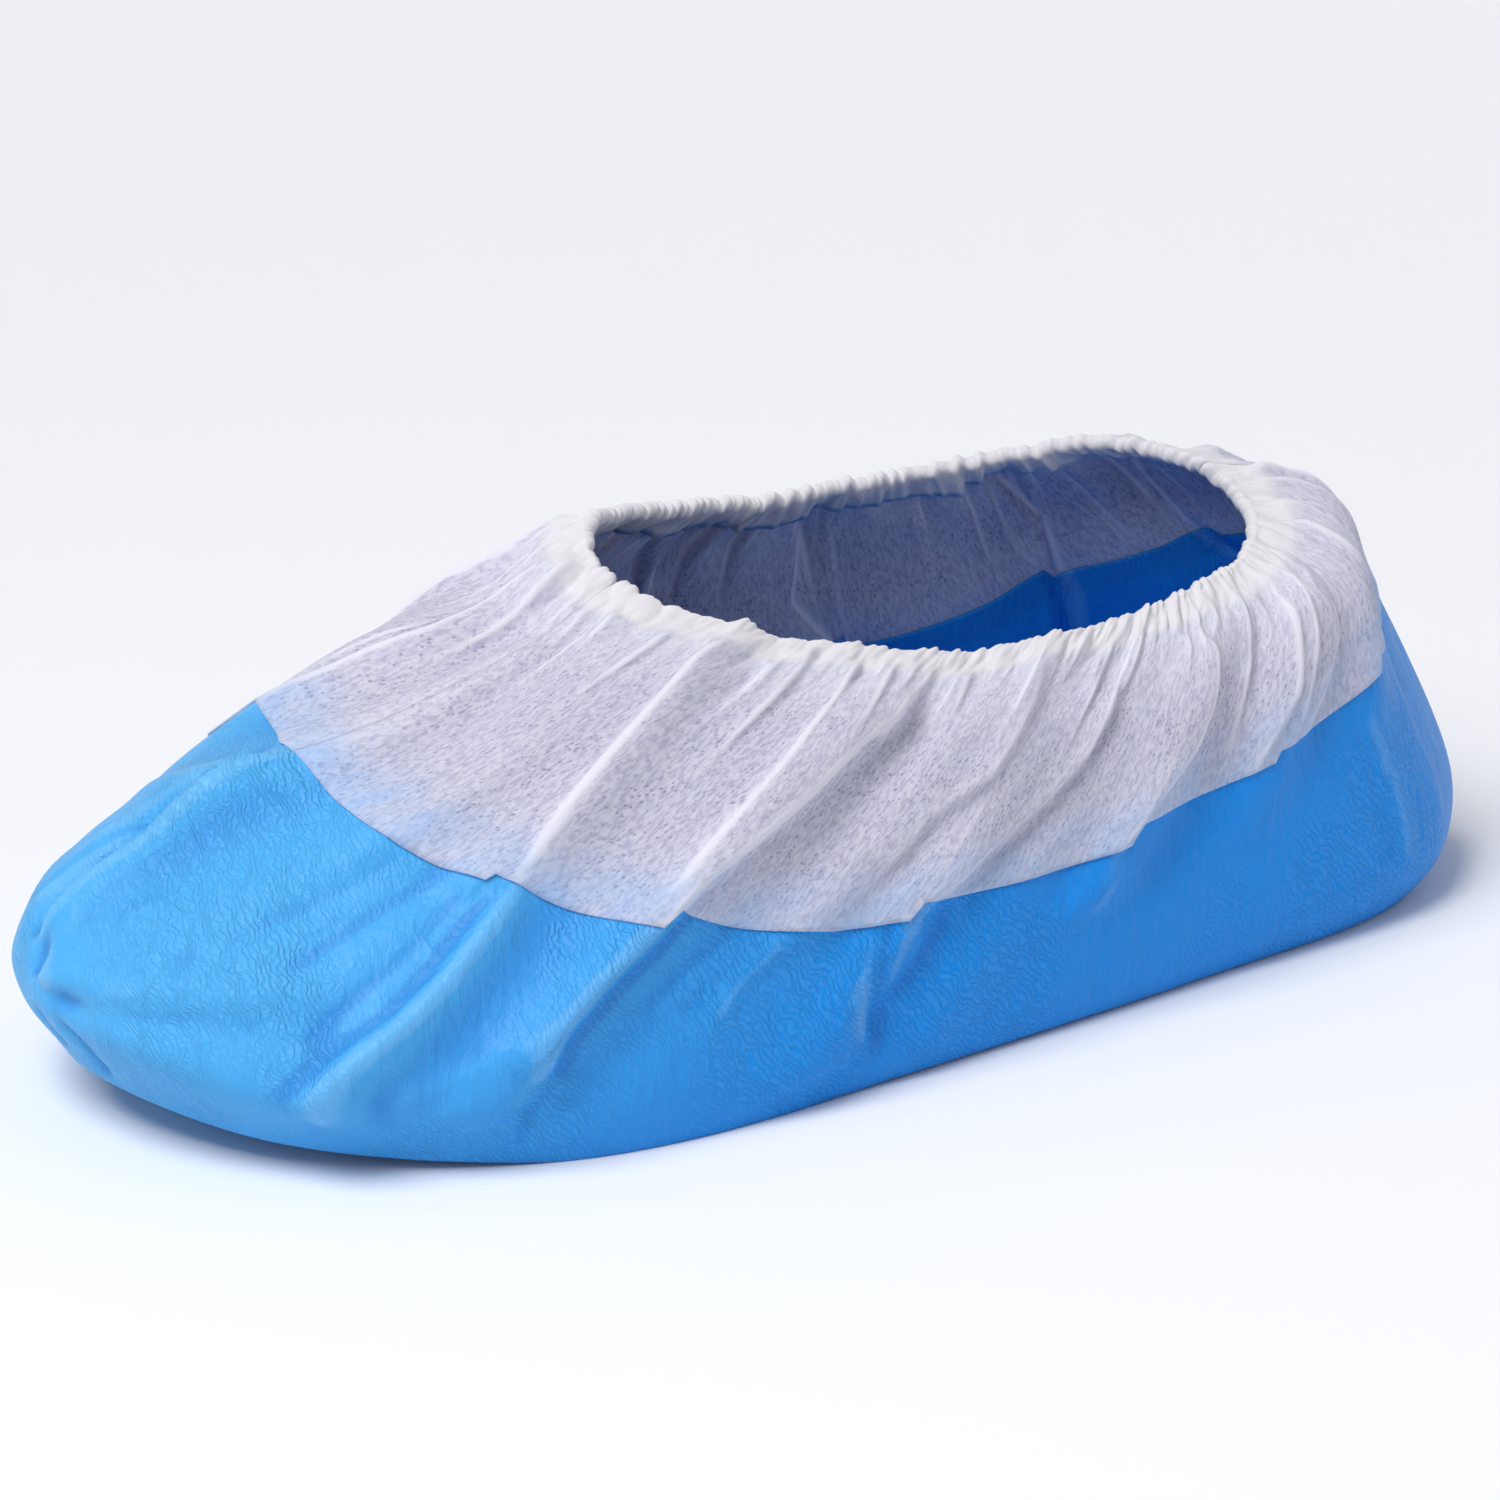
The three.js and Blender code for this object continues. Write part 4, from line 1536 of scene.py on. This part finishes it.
@dataclass
class UpperPanel:
    """One white nonwoven panel, from the lap up to the turned-over hem.

    Offsets are its outer face's distance from the draped surface, at the lap and higher up (mm).
    """

    form: DrapeForm
    finish: bpy.types.Material
    side: Side
    columns: int = 560
    rows: int = 72
    rows_crowd: float = 1.25
    evening: int = 1
    near_offset: float = 0.58
    far_offset: float = 1.3
    offset_grows: tuple[float, float] = (0.12, 0.4)
    thickness: float = 0.5

    # The turned-over hem, whose roll stands up more on the puffs between two ribs.
    hem_height: float = 8.0
    hem_fades: tuple[float, float] = (1.5, 3.0)
    roll_radius: float = 1.7
    roll_steps: int = 7
    scallop: float = 1.2
    return_rows: int = 4

    # How dense the cloth looks where it is doubled or gathered, and how far the film shows (mm).
    doubled_share: float = 0.3
    gathered_share: float = 0.5
    gathered_reach: float = 36.0
    film_shows: float = 20.0

    flat_size: tuple[float, float] = (0.090, 0.400)
    flat_area: float = 0.024

    def build(self) -> bpy.types.Object:
        """Makes the panel and hangs it on the part.

        Returns:
            The finished piece.
        """
        form = self.form
        half = form.STATIONS / 2
        first = 0.0 if self.side is Side.LEFT else half
        station = form.even_stations(Ring.BROW, first, first + half, self.columns + 1)
        lap = form.lap_line(station)
        share = 1 - (1 - np.linspace(0, 1, self.rows)[:, None]) ** self.rows_crowd
        height = lap + share * (form.TOP - lap)
        stations = np.broadcast_to(station, height.shape)
        offset = self.near_offset + (self.far_offset - self.near_offset) * ease(share, *self.offset_grows)
        outer = ClothGrid.draped(form, stations, height, offset, self.evening)
        points = np.concatenate([outer.points, *self._hem(station, lap, outer)])

        mesh = SheetMesh()
        numbers = mesh.add_points(points, self._values(outer, len(points) - self.rows))
        across = np.linspace(0, mesh.CLOTH_ROUND / 2, self.columns + 1) + first
        climb = np.linalg.norm(np.diff(points, axis=0), axis=-1).mean(axis=1)
        climb = np.concatenate([[0.0], np.cumsum(climb)]) * MM
        rise = np.broadcast_to(climb[:, None], points.shape[:2]).copy()
        rise[:self.rows] = (outer.below[0].mean() - outer.below) * MM
        mesh.add_faces(numbers, across, rise)

        name = self.side.name.lower()
        piece = mesh.build(name + "_nonwoven_panel")
        thicken(piece, self.thickness)
        piece.data.materials.append(self.finish)
        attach(piece, "root")
        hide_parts(name + "_upper_panel")
        return piece

    def _hem(self, station: Array, lap: Array, outer: ClothGrid) -> tuple[Array, Array]:
        """Turns the top edge over into the hem's channel.

        Args:
            station: the columns' stations.
            lap: the ring height of their lower ends.
            outer: the panel's outer face.

        Returns:
            The rows round the top, and the rows down the inside.
        """
        form = self.form
        top = np.full_like(station, form.TOP)
        up, out = form.directions(station, top)
        edge = outer.points[-1]
        puffs = form.gathers(Places(station, top, np.zeros_like(station), lap, edge, out))[0][:, None]
        centre = edge - out * self.roll_radius
        angle = np.linspace(0, math.pi, self.roll_steps + 1)[1:, None, None]
        rise = self.roll_radius + self.scallop * puffs
        roll = centre + self.roll_radius * np.cos(angle) * out + rise * np.sin(angle) * up

        depth = np.linspace(0, self.hem_height, self.return_rows + 1)[1:]
        returned = np.empty((self.return_rows, len(station), 3))
        for n in range(len(station)):
            rising = outer.below[::-1, n]
            for axis in range(3):
                returned[:, n, axis] = np.interp(depth, rising, outer.points[::-1, n, axis])
        return roll, returned - out * 2 * self.roll_radius

    def _values(self, outer: ClothGrid, hem_rows: int) -> dict[str, Array]:
        """Works out the attributes that the finish reads.

        Args:
            outer: the panel's outer face.
            hem_rows: how many rows the hem adds to it.

        Returns:
            How dense the cloth looks, with a painted highlight on its ridges, how far it is hem, and how
            far the film shows through it.
        """
        rest = np.zeros((hem_rows, self.columns + 1))
        gathered = self.gathered_share * (1 - ease(outer.below, self.hem_height, self.gathered_reach))
        # Ridges look dense white: partly denser cloth, partly a painted highlight.
        dense = np.maximum(np.maximum(outer.crest, self.doubled_share * outer.doubled), gathered)
        below = np.concatenate([outer.below, rest])
        before, after = self.hem_fades
        film = 1 - ease(outer.above_lap, 0, self.film_shows)
        return {
            "crest": np.concatenate([dense, rest]),
            "hem": 1 - ease(below, self.hem_height - before, self.hem_height + after),
            "lap": np.concatenate([film, rest]),
        }


# ---------- The elastic and the welds ----------


class PathPiece:
    """A piece that geometry nodes make along paths."""

    def __init__(self, name: str) -> None:
        """Starts a node tree with geometry in and out.

        Args:
            name: the piece's name.
        """
        self.name = name
        self.tree = bpy.data.node_groups.new(name, "GeometryNodeTree")
        for way in ("INPUT", "OUTPUT"):
            self.tree.interface.new_socket("Geometry", in_out=way, socket_type="NodeSocketGeometry")
        self.inputs: dict[str, str] = {}
        self.start = add_node(self.tree, "NodeGroupInput")

    def add_size(self, name: str) -> bpy.types.NodeSocket:
        """Adds a named size to the tree.

        Args:
            name: the size's name.

        Returns:
            The size's socket on the input node.
        """
        socket = self.tree.interface.new_socket(name, in_out="INPUT", socket_type="NodeSocketFloat")
        self.inputs[name] = socket.identifier
        return self.start.outputs[name]

    def finish(self, geometry: bpy.types.NodeSocket, material: bpy.types.Material) -> None:
        """Ends the tree: real geometry with its material.

        Args:
            geometry: what the tree has made.
            material: what it is made of.
        """
        real = add_node(self.tree, "GeometryNodeRealizeInstances", {"Geometry": geometry})
        dressed = add_node(self.tree, "GeometryNodeSetMaterial", {
            "Geometry": real.outputs["Geometry"], "Material": material,
        })
        add_node(self.tree, "NodeGroupOutput", {0: dressed.outputs["Geometry"]})

    def make(self, paths: list[Array], closed: bool, sizes: dict[str, float]) -> bpy.types.Object:
        """Runs the tree on paths.

        Args:
            paths: each path's points (mm).
            closed: whether the paths close on themselves.
            sizes: the value of each named size (mm).

        Returns:
            A plain mesh object with smooth faces.
        """
        mesh = bpy.data.meshes.new(self.name)
        edges = []
        start = 0
        for path in paths:
            count = len(path)
            edges += [(start + n, start + n + 1) for n in range(count - 1)]
            if closed:
                edges.append((start + count - 1, start))
            start += count
        mesh.from_pydata((np.concatenate(paths) * MM).tolist(), edges, [])
        piece = linked(self.name, mesh)
        modifier = piece.modifiers.new("along_path", "NODES")
        modifier.node_group = self.tree
        for name, value in sizes.items():
            modifier[self.inputs[name]] = value * MM
        make_plain(piece)
        shade(piece.data, True)
        return piece


@dataclass
class ElasticBand:
    """The elastic: rubber threads side by side in the hem, all round the mouth (mm)."""

    form: DrapeForm
    finish: GrainedFinish
    columns: int = 240
    threads: int = 5
    width: float = 5.0
    top: float = 1.0
    middle: float = -0.35
    thread_radius: float = 0.45
    thread_sides: int = 8

    def build(self) -> bpy.types.Object:
        """Makes the elastic and hangs it on the part.

        Returns:
            The finished piece.
        """
        maker = PathPiece("elastic_threads")
        radius = maker.add_size("Thread radius")
        curve = add_node(maker.tree, "GeometryNodeMeshToCurve", {"Mesh": maker.start.outputs["Geometry"]})
        ring = add_node(maker.tree, "GeometryNodeCurvePrimitiveCircle", {
            "Resolution": self.thread_sides, "Radius": radius,
        })
        tube = add_node(maker.tree, "GeometryNodeCurveToMesh", {
            "Curve": curve.outputs["Curve"], "Profile Curve": ring.outputs["Curve"],
        })
        maker.finish(tube.outputs["Mesh"], self.finish.material())
        piece = maker.make(self._paths(), True, {"Thread radius": self.thread_radius})
        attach(piece, "root")
        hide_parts("elastic_band")
        return piece

    def _paths(self) -> list[Array]:
        """Lays the threads' middle lines, one below the other.

        Returns:
            Each thread's points (mm).
        """
        form = self.form
        station = form.even_stations(Ring.RIM, 0, form.STATIONS, self.columns + 1)[:-1]
        rim = np.full_like(station, form.TOP)
        up, out = form.directions(station, rim)
        point = form.smooth(station, rim)
        paths = []
        for n in range(self.threads):
            below = self.top + self.width / self.threads * (n + 0.5)
            place = Places(station, rim, np.full_like(rim, below), rim, point, out)
            stand = form.relief(place)[0] + self.middle
            paths.append(point + out * stand[:, None] - up * below)
        return paths


@dataclass
class SeamWeld:
    """A welded seam allowance, standing inwards, with the marks of the hot bar along it (mm)."""

    form: DrapeForm
    finish: bpy.types.Material
    end: SeamEnd
    start_level: float = 1.0
    below_rim: float = 0.75
    rows: int = 70
    depth: float = 3.6
    allowance: float = 0.5
    clearance: float = 1.0
    film_thickness: float = 0.4
    bar_pitch: float = 3.5
    bar_length: float = 2.4
    bar_width: float = 0.9

    def build(self) -> bpy.types.Object:
        """Makes the allowance and its marks and hangs them on the part.

        Returns:
            The finished piece.
        """
        sizes = {
            "Mark pitch": self.bar_pitch,
            "Mark length": self.bar_length,
            "Mark width": self.bar_width,
            "Allowance depth": self.depth,
            "Allowance thickness": self.allowance,
        }
        maker = PathPiece(self.end.name.lower() + "_weld")
        pitch, length, width, depth, thickness = (maker.add_size(name) for name in sizes)
        tree = maker.tree
        curve = add_node(tree, "GeometryNodeMeshToCurve", {"Mesh": maker.start.outputs["Geometry"]})
        upright = add_node(tree, "GeometryNodeSetCurveNormal", {
            "Curve": curve.outputs["Curve"],
        }, mode="Z_UP")
        section = add_node(tree, "GeometryNodeCurvePrimitiveQuadrilateral", {
            "Width": thickness, "Height": depth,
        })
        strip = add_node(tree, "GeometryNodeCurveToMesh", {
            "Curve": upright.outputs["Curve"], "Profile Curve": section.outputs["Curve"],
            "Fill Caps": True,
        })
        spots = add_node(tree, "GeometryNodeCurveToPoints", {
            "Curve": upright.outputs["Curve"], "Length": pitch,
        }, mode="LENGTH")
        size = add_node(tree, "ShaderNodeCombineXYZ", {"X": width, "Y": width, "Z": length})
        mark = add_node(tree, "GeometryNodeMeshCube", {"Size": size.outputs["Vector"]})
        marks = add_node(tree, "GeometryNodeInstanceOnPoints", {
            "Points": spots.outputs["Points"], "Instance": mark.outputs["Mesh"],
            "Rotation": spots.outputs["Rotation"],
        })
        joined = add_node(tree, "GeometryNodeJoinGeometry")
        for made in (strip.outputs["Mesh"], marks.outputs["Instances"]):
            tree.links.new(made, joined.inputs[0])
        maker.finish(joined.outputs["Geometry"], self.finish)
        piece = maker.make([self._middle_line()], False, sizes)
        shade(piece.data, False)
        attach(piece, "root")
        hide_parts(self.end.name.lower() + "_seam")
        return piece

    def _middle_line(self) -> Array:
        """Finds the line along the middle of the allowance, behind the cloth that it stands on.

        Returns:
            The line's points (mm).
        """
        form = self.form
        level = np.linspace(self.start_level, form.TOP - self.below_rim, self.rows)
        station = np.full_like(level, float(self.end.value))
        pair = [np.stack([values, values], axis=1) for values in (station, level)]
        draped = ClothGrid.draped(form, *pair, 0.0)
        _, out = form.directions(station, level)
        behind = np.where(level < form.LAP_RING, self.film_thickness, 0.0)
        root = draped.points[:, 0] - out * (self.clearance + behind)[:, None]
        return root - out * self.depth / 2


# ---------- Studio ----------


def face_cover(thing: bpy.types.Object, aim: Vector, azimuth: float, elevation: float,
               distance: float) -> None:
    """Places a camera or light round the cover and turns it to face it.

    Args:
        thing: the camera or light.
        aim: the point that it faces.
        azimuth: degrees round the cover from the toe.
        elevation: degrees above the floor.
        distance: metres from the point.
    """
    turn, tilt = math.radians(azimuth), math.radians(elevation)
    flat = math.cos(tilt)
    back = Vector((math.sin(turn) * flat, -math.cos(turn) * flat, math.sin(tilt)))
    thing.location = aim + back * distance
    thing.rotation_euler = (-back).to_track_quat("-Z", "Y").to_euler()


@dataclass(frozen=True)
class StudioFloor:
    """A round pale floor whose edge curves up into a wall, in metres."""

    radius: float = 2.4
    inner_rings: tuple[float, ...] = (0.1, 0.3, 0.6, 0.8)
    bend: float = 0.8
    bend_steps: int = 8
    wall_height: float = 1.6
    sides: int = 96
    colour: str = "#F4F5F7"
    roughness: float = 0.8

    def build(self) -> bpy.types.Object:
        """Makes the floor and paints it.

        Returns:
            The floor.
        """
        profile = [(self.radius * share, 0.0) for share in self.inner_rings]
        for step in range(self.bend_steps + 1):
            angle = math.pi / 2 * step / self.bend_steps
            profile.append((self.radius + self.bend * math.sin(angle), self.bend * (1 - math.cos(angle))))
        profile.append((self.radius + self.bend, self.wall_height))
        sides = self.sides
        points = [(0.0, 0.0, 0.0)]
        for radius, rise in profile:
            for n in range(sides):
                turn = 2 * math.pi * n / sides
                points.append((radius * math.cos(turn), radius * math.sin(turn), rise))
        faces: list[tuple[int, ...]] = [(0, 1 + n, 1 + (n + 1) % sides) for n in range(sides)]
        for ring in range(len(profile) - 1):
            low, high = 1 + ring * sides, 1 + (ring + 1) * sides
            for n in range(sides):
                after = (n + 1) % sides
                faces.append((low + n, high + n, high + after, low + after))
        mesh = bpy.data.meshes.new("floor")
        mesh.from_pydata(points, [], faces)
        shade(mesh, True)
        paint, tree, shader = new_material("matt_studio_paint")
        fill(tree, shader, {"Base Color": linear(self.colour), "Roughness": self.roughness})
        mesh.materials.append(paint)
        return linked("floor", mesh)


@dataclass(frozen=True)
class Studio:
    """The camera, the floor and soft lights: angles in degrees, lengths in metres, lens in mm."""

    floor: StudioFloor = StudioFloor()
    aim: tuple[float, float, float] = (0.0, -0.008, 0.0475)
    azimuth: float = 56.0
    elevation: float = 18.0
    distance: float = 1.1
    lens: float = 133.4
    sensor: float = 36.0

    # A small square key light near the toe.
    key_azimuth: float = 30.0
    key_elevation: float = 46.0
    key_distance: float = 0.8
    key_size: float = 0.3
    key_power: float = 1.5

    # An even soft light from high up, so that the floor is equally bright all over.
    overhead_azimuth: float = 6.0
    overhead_elevation: float = 60.0
    overhead_spread: float = 32.0
    overhead_strength: float = 1.9

    air_colour: str = "#F7F8FF"
    air_strength: float = 0.36

    def build(self) -> None:
        """Sets up the camera, the floor, the lights and how colours are shown."""
        aim = Vector(self.aim)
        lens = bpy.data.cameras.new("camera")
        lens.lens = self.lens
        lens.sensor_width = self.sensor
        camera = linked("camera", lens)
        face_cover(camera, aim, self.azimuth, self.elevation, self.distance)
        bpy.context.scene.camera = camera
        self.floor.build()

        key = bpy.data.lights.new("key", "AREA")
        key.size = self.key_size
        key.energy = self.key_power
        face_cover(linked("key", key), aim, self.key_azimuth, self.key_elevation, self.key_distance)
        overhead = bpy.data.lights.new("overhead", "SUN")
        overhead.energy = self.overhead_strength
        overhead.angle = math.radians(self.overhead_spread)
        face_cover(linked("overhead", overhead), aim, self.overhead_azimuth, self.overhead_elevation,
                   self.distance)

        world = bpy.data.worlds.new("studio_air")
        world.use_nodes = True
        fill(world.node_tree, world.node_tree.nodes["Background"], {
            "Color": linear(self.air_colour), "Strength": self.air_strength,
        })
        bpy.context.scene.world = world
        bpy.context.scene.view_settings.view_transform = "Standard"


# ---------- Assembly ----------


def main() -> None:
    """Builds the cover's pieces in order."""
    logging.basicConfig(level=logging.INFO, format="%(name)s %(message)s")
    form = DrapeForm(seed=7)
    Studio().build()
    weld = FUSED_LAYERS.material()
    nonwoven = SpunbondNonwoven().material()
    report(SeamWeld(form, weld, SeamEnd.TOE).build())
    report(SeamWeld(form, weld, SeamEnd.HEEL, start_level=1.25).build())
    report(FilmSkirt(form, EmbossedFilm()).build())
    for side in Side:
        report(UpperPanel(form, nonwoven, side).build())
    report(ElasticBand(form, RUBBER_THREAD).build())


if __name__ == "__main__":
    main()
